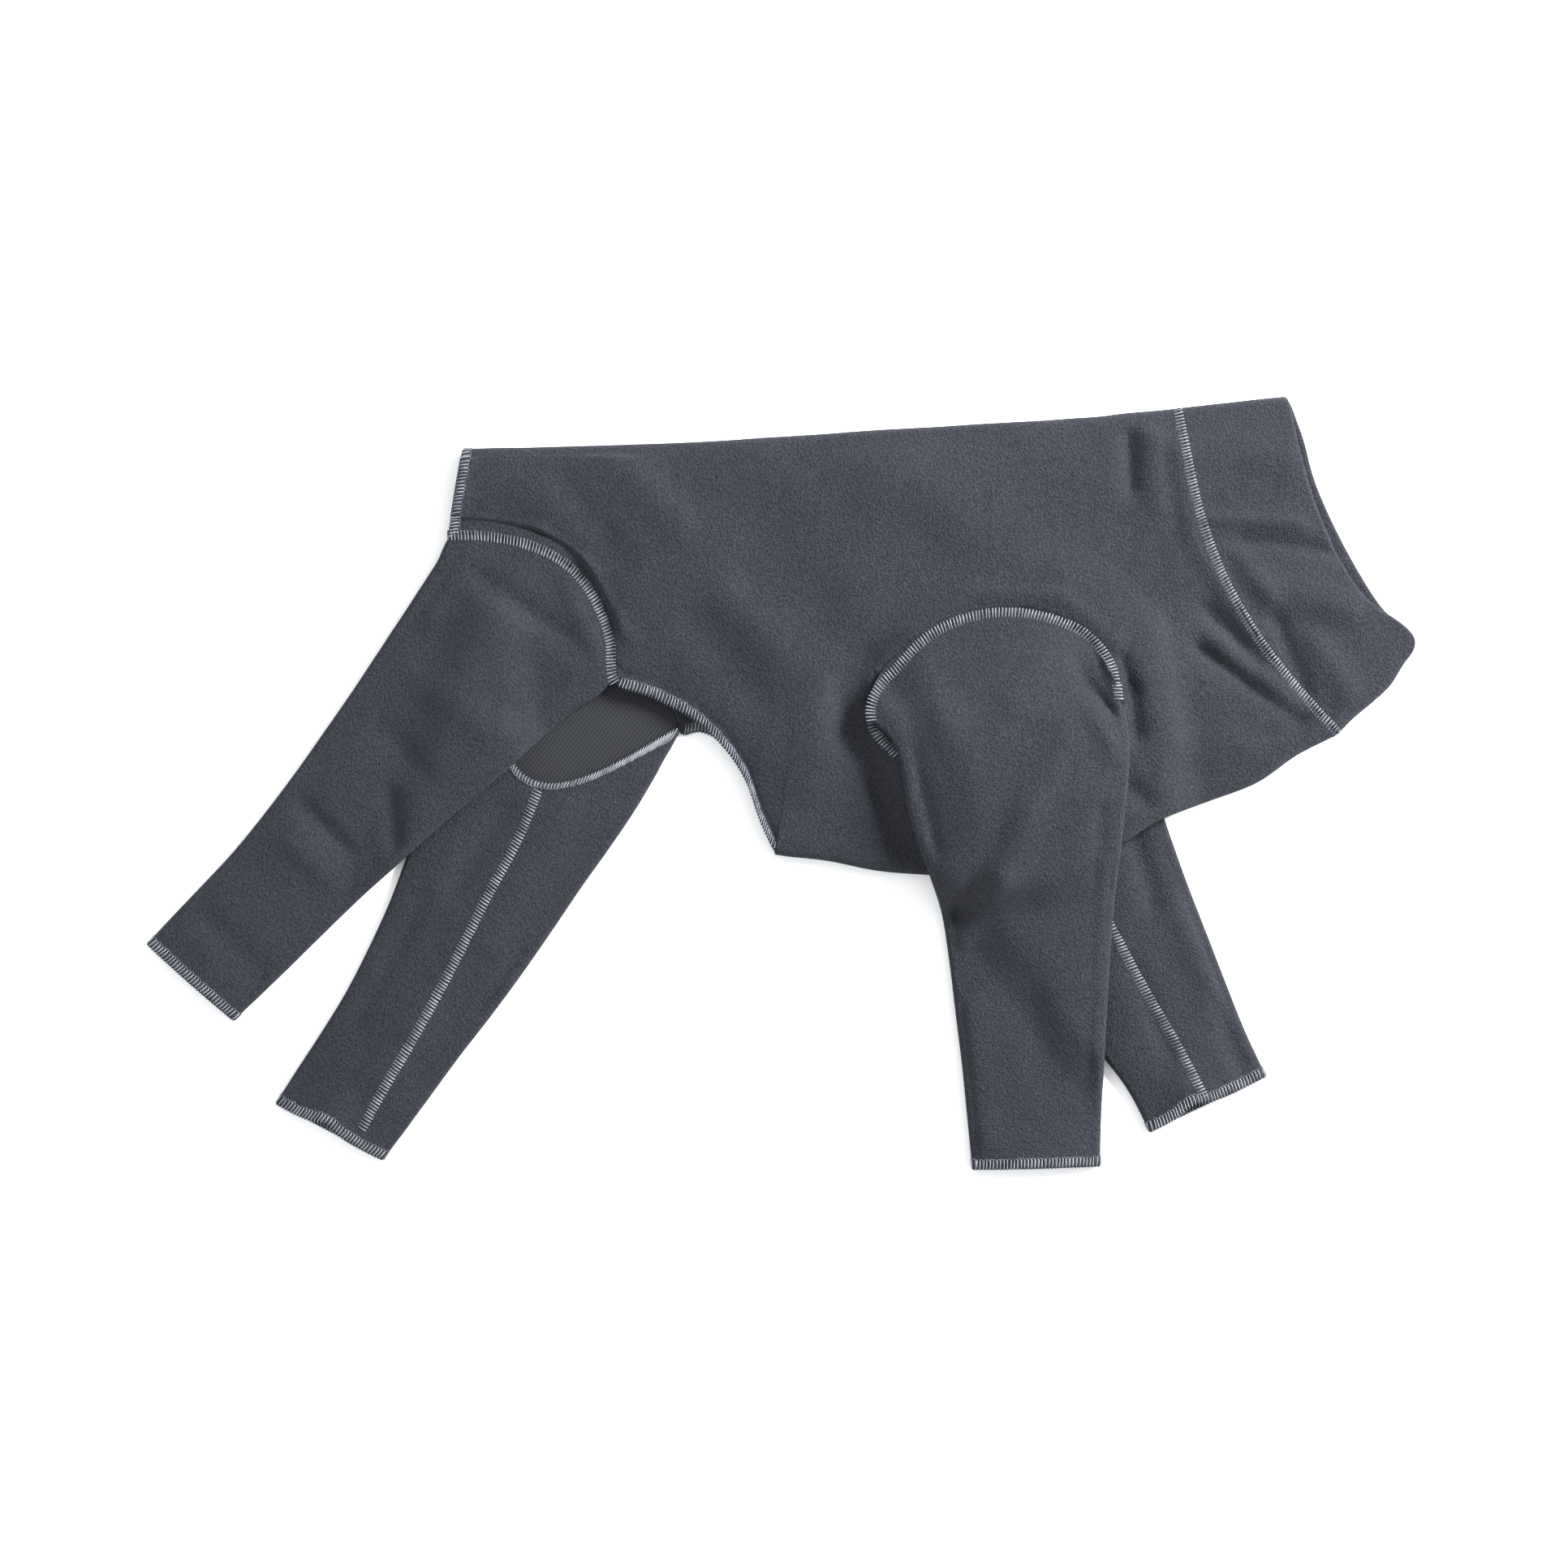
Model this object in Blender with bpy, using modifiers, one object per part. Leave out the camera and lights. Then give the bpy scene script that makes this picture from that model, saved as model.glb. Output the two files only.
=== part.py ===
"""Fleece jumpsuit for a dog, lying on its side on a flat surface with all four legs spread.

Metres, +Z up. +X runs from the tail end to the collar and +Y from the belly to the back fold.
The garment is sewn from single fleece walls: a torso folded along the back, a doubled collar,
two hind legs sewn to the torso at the hips and two front legs sewn into armholes.
"""
import math

import bmesh
import bpy
import numpy as np
from mathutils import Vector
from mathutils.bvhtree import BVHTree

# Main sizes of the garment, laid flat
BACK_LENGTH = 0.440        # tail edge to collar seam, along the back fold
TORSO_DEPTH = 0.275        # back fold at the tail to the lowest point of the belly
COLLAR_LENGTH = 0.0695     # collar seam to folded collar edge, along the back
NEAR_HIND_LENGTH = 0.312   # middle of a leg's root to the middle of its hem, in plan
FAR_HIND_LENGTH = 0.3185
NEAR_FRONT_LENGTH = 0.2855
FAR_FRONT_LENGTH = 0.283
ARMHOLE_WIDTH = 0.152      # across the leg
ARMHOLE_RISE = 0.059       # from the middle of the armhole up to its highest point
ARMHOLE_DIP = 0.0275       # from the middle of the armhole down to its lowest point
CROTCH_DIP = 0.070         # how far the inner edge of a hind leg dips below its hip

# Cloth
WALL = 0.0022              # fleece thickness
SEAM_GAP = 0.0003          # left between two sewn edges
SEAM_EASE = 0.0010         # left between two edges that are sewn at a changing angle
REST_GAP = 0.0006          # left between two walls that lie on each other
PLY_GAP = 0.0006           # left between the two plies of the collar
TORSO_FOLD_RADIUS = 0.0046
LEG_FOLD_RADIUS = 0.0026
TORSO_CROWN = 0.009        # how far the middle of the torso stands above its folds
COLLAR_CROWN = 0.0075
LEG_CROWN = 0.0040
DRAPE_REACH = 0.013        # how far a wall spans beside what it lies on

# Mesh density
TORSO_CELLS = 13
LEG_CELLS = 9
FOLD_CELLS = 4
MAP_CELL = 0.004           # cell of the height map that a wall is draped over
MAP_MARGIN = 0.050
MESH_REACH = 0.020         # what a draped wall clears beside its own mesh points

# Torso sections, tail to collar. The back and edge points are shares of BACK_LENGTH along and
# TORSO_DEPTH down, from the tail end of the back fold. The near and far edges are the two sides
# of the opening under the belly, and they meet where closed is 1. The bow is a share of
# TORSO_DEPTH and the crown a share of TORSO_CROWN.
TORSO_COLUMNS = ("back_x", "back_y", "near_x", "near_y", "far_x", "far_y", "closed", "bow", "crown")
TORSO_ROWS = (
    (0.000, 0.000, -0.021, 0.195, 0.036, 0.413, 0, 0.000, 0.15),
    (0.040, -0.002, 0.025, 0.196, 0.091, 0.416, 0, 0.000, 0.30),
    (0.085, -0.003, 0.074, 0.209, 0.148, 0.436, 0, 0.000, 0.42),
    (0.131, -0.005, 0.119, 0.235, 0.199, 0.467, 0, 0.000, 0.52),
    (0.173, -0.007, 0.157, 0.278, 0.244, 0.507, 0, 0.000, 0.60),
    (0.214, -0.009, 0.187, 0.347, 0.278, 0.553, 0, 0.000, 0.65),
    (0.252, -0.011, 0.206, 0.431, 0.298, 0.598, 0, 0.000, 0.68),
    (0.290, -0.013, 0.212, 0.524, 0.305, 0.640, 0, 0.000, 0.70),
    (0.332, -0.016, 0.265, 0.558, 0.332, 0.635, 0, 0.000, 0.70),
    (0.375, -0.020, 0.318, 0.602, 0.359, 0.656, 0, 0.000, 0.70),
    (0.418, -0.025, 0.362, 0.664, 0.381, 0.700, 0, 0.000, 0.72),
    (0.460, -0.029, 0.395, 0.742, 0.402, 0.757, 0, 0.000, 0.76),
    (0.500, -0.033, 0.416, 0.835, 0.418, 0.838, 0, 0.000, 0.82),
    (0.540, -0.038, 0.446, 0.913, 0.446, 0.913, 1, 0.000, 0.88),
    (0.585, -0.043, 0.511, 0.925, 0.511, 0.925, 1, 0.000, 0.94),
    (0.631, -0.047, 0.580, 0.947, 0.580, 0.947, 1, 0.000, 1.00),
    (0.676, -0.051, 0.648, 0.956, 0.648, 0.956, 1, 0.000, 1.00),
    (0.722, -0.056, 0.716, 0.960, 0.716, 0.960, 1, 0.000, 1.00),
    (0.767, -0.060, 0.784, 0.953, 0.784, 0.953, 1, 0.000, 1.00),
    (0.813, -0.064, 0.852, 0.931, 0.852, 0.931, 1, 0.000, 1.00),
    (0.855, -0.069, 0.915, 0.891, 0.915, 0.891, 1, 0.010, 1.00),
    (0.892, -0.073, 0.975, 0.833, 0.975, 0.833, 1, 0.025, 0.95),
    (0.926, -0.080, 1.045, 0.791, 1.045, 0.791, 1, 0.042, 0.90),
    (0.955, -0.084, 1.114, 0.749, 1.114, 0.749, 1, 0.058, 0.85),
    (0.977, -0.087, 1.170, 0.687, 1.170, 0.687, 1, 0.070, 0.80),
    (1.000, -0.091, 1.226, 0.642, 1.226, 0.642, 1, 0.081, 0.78),
)
HIP_ROWS = 8               # the hip seams run along the edges of this many first sections

# Collar sections, from the seam to the folded edge, as shares of COLLAR_LENGTH from the two
# ends of the seam. The bows are shares of TORSO_DEPTH.
COLLAR_COLUMNS = ("back_x", "back_y", "chest_x", "chest_y", "near_bow", "far_bow", "crown")
COLLAR_ROWS = (
    (0.00, 0.000, 0.00, 0.00, 0.081, 0.081, 0.95),
    (0.26, 0.030, 0.15, 0.17, 0.079, 0.076, 1.00),
    (0.52, 0.060, 0.35, 0.37, 0.076, 0.069, 1.00),
    (0.76, 0.090, 0.54, 0.59, 0.073, 0.060, 1.00),
    (0.98, 0.115, 0.69, 0.86, 0.069, 0.050, 0.95),
)

# Leg sections, from the root to the hem. Along is a share of the leg's length. Rear and front
# are shares of half the root's width, from the leg's axis to each of its two folds. Over and
# under say how much of the root's curve the upper and the lower wall still have there, and
# joined how far the upper wall still keeps the height of its seam.
LEG_COLUMNS = ("along", "rear", "front", "over", "under", "joined")
NEAR_HIND_ROWS = (
    (0.000, 1.000, 1.000, 1.00, 1.00, 1.0),
    (0.050, 0.905, 0.960, 0.86, 0.84, 0.8),
    (0.100, 0.840, 0.895, 0.72, 0.71, 0.6),
    (0.170, 0.788, 0.850, 0.54, 0.55, 0.3),
    (0.250, 0.734, 0.827, 0.36, 0.38, 0.1),
    (0.350, 0.667, 0.776, 0.17, 0.21, 0.0),
    (0.450, 0.609, 0.720, 0.06, 0.09, 0.0),
    (0.550, 0.555, 0.675, 0.00, 0.03, 0.0),
    (0.650, 0.515, 0.622, 0.00, 0.00, 0.0),
    (0.750, 0.492, 0.589, 0.00, 0.00, 0.0),
    (0.850, 0.500, 0.562, 0.00, 0.00, 0.0),
    (0.930, 0.510, 0.536, 0.00, 0.00, 0.0),
    (1.000, 0.515, 0.512, 0.00, 0.00, 0.0),
)
FAR_HIND_ROWS = (
    (0.000, 1.000, 1.000, 1.00, 1.00, 1.0),
    (0.050, 0.960, 0.985, 0.84, 0.86, 0.8),
    (0.100, 0.920, 1.005, 0.71, 0.72, 0.6),
    (0.170, 0.864, 1.010, 0.55, 0.54, 0.3),
    (0.250, 0.800, 0.985, 0.38, 0.36, 0.1),
    (0.350, 0.720, 0.935, 0.21, 0.17, 0.0),
    (0.450, 0.640, 0.880, 0.09, 0.06, 0.0),
    (0.550, 0.562, 0.835, 0.03, 0.00, 0.0),
    (0.650, 0.517, 0.780, 0.00, 0.00, 0.0),
    (0.750, 0.495, 0.705, 0.00, 0.00, 0.0),
    (0.850, 0.510, 0.640, 0.00, 0.00, 0.0),
    (0.930, 0.532, 0.590, 0.00, 0.00, 0.0),
    (1.000, 0.545, 0.550, 0.00, 0.00, 0.0),
)
NEAR_FRONT_ROWS = (
    (0.000, 1.000, 1.000, 1.00, 1.00, 1.0),
    (0.044, 0.870, 1.020, 0.76, 0.72, 0.5),
    (0.088, 0.806, 1.027, 0.62, 0.54, 0.2),
    (0.141, 0.800, 1.012, 0.50, 0.40, 0.0),
    (0.203, 0.790, 0.978, 0.38, 0.27, 0.0),
    (0.274, 0.748, 0.932, 0.26, 0.15, 0.0),
    (0.353, 0.675, 0.882, 0.15, 0.06, 0.0),
    (0.442, 0.595, 0.825, 0.06, 0.02, 0.0),
    (0.548, 0.570, 0.760, 0.00, 0.00, 0.0),
    (0.663, 0.558, 0.695, 0.00, 0.00, 0.0),
    (0.777, 0.545, 0.637, 0.00, 0.00, 0.0),
    (0.892, 0.542, 0.582, 0.00, 0.00, 0.0),
    (1.000, 0.540, 0.539, 0.00, 0.00, 0.0),
)
FAR_FRONT_ROWS = (
    (0.000, 1.000, 1.000, 1.00, 1.00, 1.0),
    (0.044, 0.980, 0.966, 0.72, 0.76, 0.5),
    (0.088, 0.959, 0.933, 0.54, 0.62, 0.2),
    (0.141, 0.935, 0.892, 0.40, 0.50, 0.0),
    (0.203, 0.906, 0.845, 0.27, 0.38, 0.0),
    (0.274, 0.873, 0.781, 0.15, 0.26, 0.0),
    (0.353, 0.837, 0.711, 0.06, 0.15, 0.0),
    (0.442, 0.794, 0.663, 0.02, 0.06, 0.0),
    (0.548, 0.736, 0.623, 0.00, 0.00, 0.0),
    (0.663, 0.674, 0.593, 0.00, 0.00, 0.0),
    (0.777, 0.612, 0.562, 0.00, 0.00, 0.0),
    (0.892, 0.552, 0.536, 0.00, 0.00, 0.0),
    (1.000, 0.535, 0.535, 0.00, 0.00, 0.0),
)
NEAR_HIND_HEADING = 228.0  # degrees anticlockwise from +X, root to hem
FAR_HIND_HEADING = 240.1
NEAR_FRONT_HEADING = 275.3
FAR_FRONT_HEADING = 295.3
NEAR_ARMHOLE = (0.741, 0.580)  # middles of the armholes, as shares like those of the torso
FAR_ARMHOLE = (0.764, 0.545)
NEAR_ARMHOLE_TILT = 1.5    # degrees, of the armhole's width
FAR_ARMHOLE_TILT = 25.6
SLEEVE_LIFT = 0.35         # how much of its turn the near sleeve has made beside its folds
ARMHOLE_SKEW = 0.20        # how much fuller an armhole is towards the chest
NECK_HEADING = 25.0        # degrees, from the collar seam to the collar's front edge

# Folds and dents of the upper walls. Each is a straight line in plan, in the torso's shares,
# with its half width as a share of TORSO_DEPTH and its height as a share of the crown.
TORSO_FOLDS = (
    (0.585, 0.450, 0.553, 0.595, 0.060, -0.60),
    (0.553, 0.595, 0.625, 0.920, 0.075, -0.65),
    (0.925, 0.476, 0.939, 0.600, 0.036, -0.35),
    (0.955, 0.440, 0.985, 0.640, 0.055, 0.30),
    (1.040, 0.400, 1.160, 0.610, 0.045, -0.45),
    (1.070, 0.420, 1.160, 0.560, 0.030, 0.30),
    (0.930, -0.080, 0.938, 0.080, 0.035, -0.25),
    (0.200, 0.050, 0.260, 0.190, 0.045, -0.20),
    (0.940, 0.810, 1.000, 0.770, 0.040, -0.30),
    (1.120, 0.185, 1.215, 0.230, 0.040, -0.30),
    (1.130, 0.300, 1.200, 0.360, 0.080, 0.25),
    (1.120, 0.460, 1.210, 0.600, 0.040, -0.30),
)
NEAR_FRONT_FOLDS = (
    (0.675, 1.120, 0.775, 0.960, 0.042, -0.45),
    (0.725, 1.140, 0.790, 0.980, 0.035, 0.35),
    (0.790, 0.980, 0.815, 0.820, 0.040, 0.35),
    (0.858, 0.930, 0.850, 1.360, 0.050, -0.35),
)
NEAR_HIND_FOLDS = (
    (0.030, 0.310, 0.135, 0.425, 0.050, -0.35),
    (0.060, 0.330, 0.190, 0.500, 0.055, 0.40),
    (-0.220, 0.810, -0.170, 0.890, 0.050, -0.35),
    (-0.100, 0.795, -0.060, 0.885, 0.050, -0.35),
)
FAR_HIND_FOLDS = (
    (0.200, 0.900, 0.090, 1.120, 0.060, 0.35),
    (0.110, 0.900, 0.020, 1.100, 0.050, -0.30),
)
FAR_FRONT_FOLDS = (
    (0.930, 0.870, 0.960, 1.020, 0.050, -0.35),
    (0.960, 1.100, 1.040, 1.330, 0.060, 0.30),
)


def table(columns, rows):
    """The rows of a table as one array for each named column."""
    return dict(zip(columns, np.array(rows, float).T))


def plan(along, down):
    """A point of the flat garment, from shares of its two main sizes."""
    return np.stack([np.asarray(along) * BACK_LENGTH, -np.asarray(down) * TORSO_DEPTH], axis=-1)


def direction(degrees):
    return np.array([math.cos(math.radians(degrees)), math.sin(math.radians(degrees))])


def relief(points, folds):
    """How far the folds of one table lift a wall at each point, as a share of its crown."""
    lift = np.zeros(points.shape[:-1])
    for x1, y1, x2, y2, half_width, height in folds:
        start = plan(x1, y1)
        run = plan(x2, y2) - start
        share = np.clip(((points[..., :2] - start) @ run) / (run @ run), 0.0, 1.0)
        away = np.linalg.norm(points[..., :2] - start - share[..., None] * run, axis=-1)
        lift += height * np.exp(-((away / (half_width * TORSO_DEPTH)) ** 2))
    return lift


class Floor:
    """The flat surface that the garment lies on."""

    def rest(self, points):
        return np.full(points.shape[:-1], WALL / 2)


class Drape(Floor):
    """The height of what lies under a wall, widened and smoothed as cloth bridges it."""

    def __init__(self, *surfaces):
        points = np.concatenate([surface[0] for surface in surfaces])
        self.low = points[:, :2].min(axis=0) - MAP_MARGIN
        size = points[:, :2].max(axis=0) + MAP_MARGIN - self.low
        counts = np.ceil(size / MAP_CELL).astype(int) + 1
        heights = np.zeros(counts)
        trees = [BVHTree.FromPolygons(surface[0].tolist(), surface[1]) for surface in surfaces]
        for i, j in np.ndindex(*counts):
            above = Vector((self.low[0] + i * MAP_CELL, self.low[1] + j * MAP_CELL, 1.0))
            for tree in trees:
                hit = tree.ray_cast(above, Vector((0.0, 0.0, -1.0)))[0]
                if hit is not None:
                    heights[i, j] = max(heights[i, j], hit.z + WALL / 2)
        widest = np.maximum.reduce(list(self.around(heights, DRAPE_REACH + MESH_REACH)))
        near = list(self.around(widest, DRAPE_REACH))
        self.heights = sum(near) / len(near)

    def around(self, heights, reach):
        """The map shifted to every cell within a reach."""
        steps = int(reach / MAP_CELL)
        padded = np.pad(heights, steps)
        for i, j in np.ndindex(2 * steps + 1, 2 * steps + 1):
            if math.hypot(i - steps, j - steps) * MAP_CELL <= reach:
                yield padded[i:i + heights.shape[0], j:j + heights.shape[1]]

    def rest(self, points):
        place = (points[..., :2] - self.low) / MAP_CELL
        place = np.clip(place, 0.0, np.array(self.heights.shape) - 1.001)
        i, j = np.floor(place).astype(int)[..., 0], np.floor(place).astype(int)[..., 1]
        u, v = place[..., 0] - i, place[..., 1] - j
        low = self.heights[i, j] * (1 - u) + self.heights[i + 1, j] * u
        high = self.heights[i, j + 1] * (1 - u) + self.heights[i + 1, j + 1] * u
        below = low * (1 - v) + high * v
        return WALL / 2 + below + REST_GAP * np.clip(below / REST_GAP, 0.0, 1.0)


def grid_surface(grid, wrapped):
    """A grid of points as a flat list of points and a list of four-sided faces."""
    rows, columns = grid.shape[:2]
    faces = []
    for i in range(rows - 1):
        for j in range(columns if wrapped else columns - 1):
            k = (j + 1) % columns
            faces.append((i * columns + j, i * columns + k, (i + 1) * columns + k, (i + 1) * columns + j))
    return grid.reshape(-1, 3), faces


HALF_FOLD = FOLD_CELLS // 2
TURN = np.linspace(0.0, math.pi / 2, HALF_FOLD + 1)[1:]


def torso_side(back, edge, bow, closed, inset):
    """Plan points of one wall, from the apex of the back fold to the apex or edge below, and
    the share of the way across at which each lies."""
    run = edge - back
    width = np.linalg.norm(run, axis=-1)[:, None]
    heading = run / width
    normal = np.stack([heading[:, 1], -heading[:, 0]], axis=-1)
    margin = TORSO_FOLD_RADIUS + WALL / 2
    bend = TORSO_FOLD_RADIUS - inset
    shut = closed[:, None] > 0.5
    end = np.where(shut, width - margin, width - margin - TORSO_FOLD_RADIUS)
    back_fold = margin - bend * np.sin(TURN[::-1]) + 0.0 * width
    across = (1 - np.cos(math.pi * np.linspace(0.0, 1.0, TORSO_CELLS + 1))) / 2
    across = 0.5 * across + 0.5 * np.linspace(0.0, 1.0, TORSO_CELLS + 1)
    wall = margin + across * (end - margin)
    lower = np.where(shut, end + bend * np.sin(TURN), end + (width - end) * TURN / TURN[-1])
    distance = np.concatenate([back_fold, wall, lower], axis=1)
    offset = bow[:, None] * TORSO_DEPTH * np.sin(math.pi * np.clip(distance / width, 0.0, 1.0))
    points = back[:, None] + heading[:, None] * distance[..., None] + normal[:, None] * offset[..., None]
    return points, across


def torso_walls(back, near, far, near_bow, far_bow, closed, crown, base, inset=0.0):
    """The middle of the torso's or collar's wall: one row for each section, from the near side
    of its lower edge, over the back fold, to the far side of that edge."""
    near_points, across = torso_side(back, near, near_bow, closed, inset)
    far_points, across = torso_side(back, far, far_bow, closed, inset)
    shut = closed[:, None] > 0.5
    turn_up = np.cos(TURN[::-1])
    turn_down = np.where(shut, np.cos(TURN), 1.0)
    puff = (4 * across * (1 - across)) ** 0.75
    shape = np.concatenate([0 * turn_up, puff, 0 * TURN])
    bend = np.concatenate([turn_up + 0 * shut, 1 + 0 * across + 0 * shut, turn_down], axis=1)
    full = crown[:, None] * shape * (1 + relief(near_points, TORSO_FOLDS))
    turned = (TORSO_FOLD_RADIUS - inset) * bend
    near_height = base.rest(near_points) + TORSO_FOLD_RADIUS + turned + full
    far_height = base.rest(far_points) + TORSO_FOLD_RADIUS - turned
    near_grid = np.concatenate([near_points, near_height[..., None]], axis=-1)
    far_grid = np.concatenate([far_points, far_height[..., None]], axis=-1)
    fold = (near_grid[:, :1] + far_grid[:, :1]) / 2
    belly = (near_grid[:, -1:] + far_grid[:, -1:]) / 2
    near_grid[:, -1:] = np.where(shut[..., None], belly, near_grid[:, -1:])
    far_grid[:, -1:] = np.where(shut[..., None], belly, far_grid[:, -1:])
    return np.concatenate([near_grid[:, :0:-1], fold, far_grid[:, 1:]], axis=1)


def leg_root(rear_end, front_end, rise, dip, heading):
    """The two curves of an armhole in plan: the one away from the hem and the one towards it."""
    share = -np.cos(math.pi * np.linspace(0.0, 1.0, LEG_CELLS + 1))
    depth = np.sqrt(np.clip(1 - share ** 2, 0.0, 1.0))
    middle = (rear_end + front_end) / 2
    line = middle + (front_end - rear_end) / 2 * share[:, None]
    bow = (rise * depth * (1 + ARMHOLE_SKEW * share))[:, None]
    return line - heading * bow, line + heading * (dip * depth)[:, None]


def leg_walls(rows, ends, length, heading, over_root, under_root, root_ways, folds, base, seam=None):
    """The middle of a leg's wall: one closed loop for each section, from the rear fold over the
    upper wall to the front fold and back along the lower wall."""
    row = table(LEG_COLUMNS, rows)
    rear_end, front_end = ends
    middle = (rear_end + front_end) / 2
    half = np.linalg.norm(front_end - rear_end) / 2
    side = (front_end - rear_end) / (2 * half)
    margin = LEG_FOLD_RADIUS + WALL / 2
    share = -np.cos(math.pi * np.linspace(0.0, 1.0, LEG_CELLS + 1))
    reach = np.where(share < 0, row["rear"][:, None], row["front"][:, None]) * half - margin
    centre = middle + row["along"][:, None] * length * heading
    straight = centre[:, None] + (share * reach)[..., None] * side
    over = straight + row["over"][:, None, None] * (over_root - straight[0])
    under = straight + row["under"][:, None, None] * (under_root - straight[0])
    puff = 1 - share ** 2
    full = LEG_CROWN * puff * (1 + relief(over, folds))
    over_height = base.rest(over) + 2 * LEG_FOLD_RADIUS + full
    if seam is not None:
        seam = np.where(np.isnan(seam), over_height[0], seam)
        over_height += row["joined"][:, None] * (seam - over_height[0])
    under_height = base.rest(under)
    over = np.concatenate([over, over_height[..., None]], axis=-1)
    under = np.concatenate([under, under_height[..., None]], axis=-1)
    turn = np.linspace(0.0, math.pi, FOLD_CELLS + 1)[1:-1]

    def fold(start, end, outward):
        mixed = ((1 + np.cos(turn)) / 2)[:, None]
        points = start[:, None] * mixed + end[:, None] * (1 - mixed)
        points[..., :2] += (LEG_FOLD_RADIUS * np.sin(turn))[:, None] * outward[:, None]
        return points

    front_ways = np.array([root_ways[1]] + [side] * (len(over) - 1))
    rear_ways = np.array([root_ways[0]] + [-side] * (len(over) - 1))
    front = fold(over[:, -1], under[:, -1], front_ways)
    rear = fold(under[:, 0], over[:, 0], rear_ways)
    return np.concatenate([over, front, under[:, ::-1], rear], axis=1)


def along_curve(curve, count):
    """Points at even distances along a curve."""
    steps = np.linalg.norm(np.diff(curve, axis=0), axis=-1)
    travel = np.concatenate([[0.0], np.cumsum(steps)])
    wanted = np.linspace(0.0, travel[-1], count)
    return np.stack([np.interp(wanted, travel, curve[:, k]) for k in range(curve.shape[1])], axis=-1)


def hip_root(edge, heading):
    """Root of a hind leg: its two ends, the curve sewn to the torso's edge, the inner top edge,
    which dips towards the hem and is sewn to nothing, and the way its two folds turn there."""
    edge = edge[:, :2] + heading * SEAM_EASE
    dense = along_curve(edge, 101)
    length = np.linalg.norm(np.diff(dense, axis=0), axis=-1).sum()
    skip = max(1, round(100 * (LEG_FOLD_RADIUS + WALL / 2 + 2 * SEAM_EASE) / length))
    seam = along_curve(dense[skip:-skip], LEG_CELLS + 1)
    share = -np.cos(math.pi * np.linspace(0.0, 1.0, LEG_CELLS + 1))[:, None]
    line = seam[0] + (seam[-1] - seam[0]) * (1 + share) / 2
    inner = line + heading * CROTCH_DIP * (1 - share ** 2) ** 1.2
    ways = []
    for way in (seam[0] - seam[1], seam[-1] - seam[-2]):
        away = way / np.linalg.norm(way) + heading
        ways.append(away / np.linalg.norm(away))
    return (edge[0], edge[-1]), seam, inner, ways


def collection(name):
    group = bpy.data.collections.new(name)
    bpy.context.scene.collection.children.link(group)
    return group


def fleece(name, colour):
    material = bpy.data.materials.new(name)
    material.use_nodes = True
    shader = material.node_tree.nodes["Principled BSDF"]
    shader.inputs["Base Color"].default_value = (*colour, 1.0)
    shader.inputs["Roughness"].default_value = 0.95
    shader.inputs["Sheen Weight"].default_value = 0.4
    return material


def add_object(name, points, faces, group, offset):
    mesh = bpy.data.meshes.new(name)
    mesh.from_pydata((points - offset).tolist(), [], faces)
    mesh.validate()
    item = bpy.data.objects.new(name, mesh)
    group.objects.link(item)
    return item


def add_cloth(name, surface, colour, group, offset):
    points, faces = surface
    kept, places = np.unique(np.round(points, 6), axis=0, return_inverse=True)
    places = places.reshape(-1)
    joined = [tuple(dict.fromkeys(places[list(face)].tolist())) for face in faces]
    item = add_object(name, kept, [face for face in joined if len(face) > 2], group, offset)
    item.data.shade_smooth()
    item.data.materials.append(fleece(name + "_fleece", colour))
    solid = item.modifiers.new("Wall", "SOLIDIFY")
    solid.thickness = WALL
    solid.offset = 0.0
    solid.use_even_offset = True
    return item


def add_cutter(name, rim, inside, outside, group, offset):
    """A plug through one wall of the torso. Its inner end follows the middle of the hollow."""
    centre = rim.mean(axis=0)
    rings = [centre + (rim - centre) * share for share in (1.0, 0.66, 0.33)]
    count = len(rim)
    inner = [np.column_stack([ring, inside(ring)]) for ring in rings]
    tip = np.append(centre, inside(centre[None])[0])[None]
    outer = np.column_stack([rim, np.full(count, outside)])
    points = np.concatenate([outer, *inner, tip])
    faces = [tuple(range(count))[::-1]]
    for ring in range(3):
        for i in range(count):
            k = (i + 1) % count
            low, high = ring * count, (ring + 1) * count
            faces.append((low + i, low + k, high + k, high + i))
    faces += [(3 * count + i, 3 * count + (i + 1) % count, 4 * count) for i in range(count)]
    item = add_object(name, points, faces, group, offset)
    facing = bmesh.new()
    facing.from_mesh(item.data)
    bmesh.ops.recalc_face_normals(facing, faces=facing.faces)
    facing.to_mesh(item.data)
    facing.free()
    item.hide_render = True
    item.display_type = "WIRE"
    return item


def cut(item, cutter):
    hole = item.modifiers.new(cutter.name, "BOOLEAN")
    hole.operation = "DIFFERENCE"
    hole.solver = "EXACT"
    hole.object = cutter


def armhole_ends(middle, tilt):
    half = direction(tilt) * ARMHOLE_WIDTH / 2
    return plan(*middle) - half, plan(*middle) + half


def torso_grid(base):
    row = table(TORSO_COLUMNS, TORSO_ROWS)
    return torso_walls(
        plan(row["back_x"], row["back_y"]), plan(row["near_x"], row["near_y"]),
        plan(row["far_x"], row["far_y"]), row["bow"], row["bow"], row["closed"],
        row["crown"] * TORSO_CROWN, base,
    )


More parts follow.
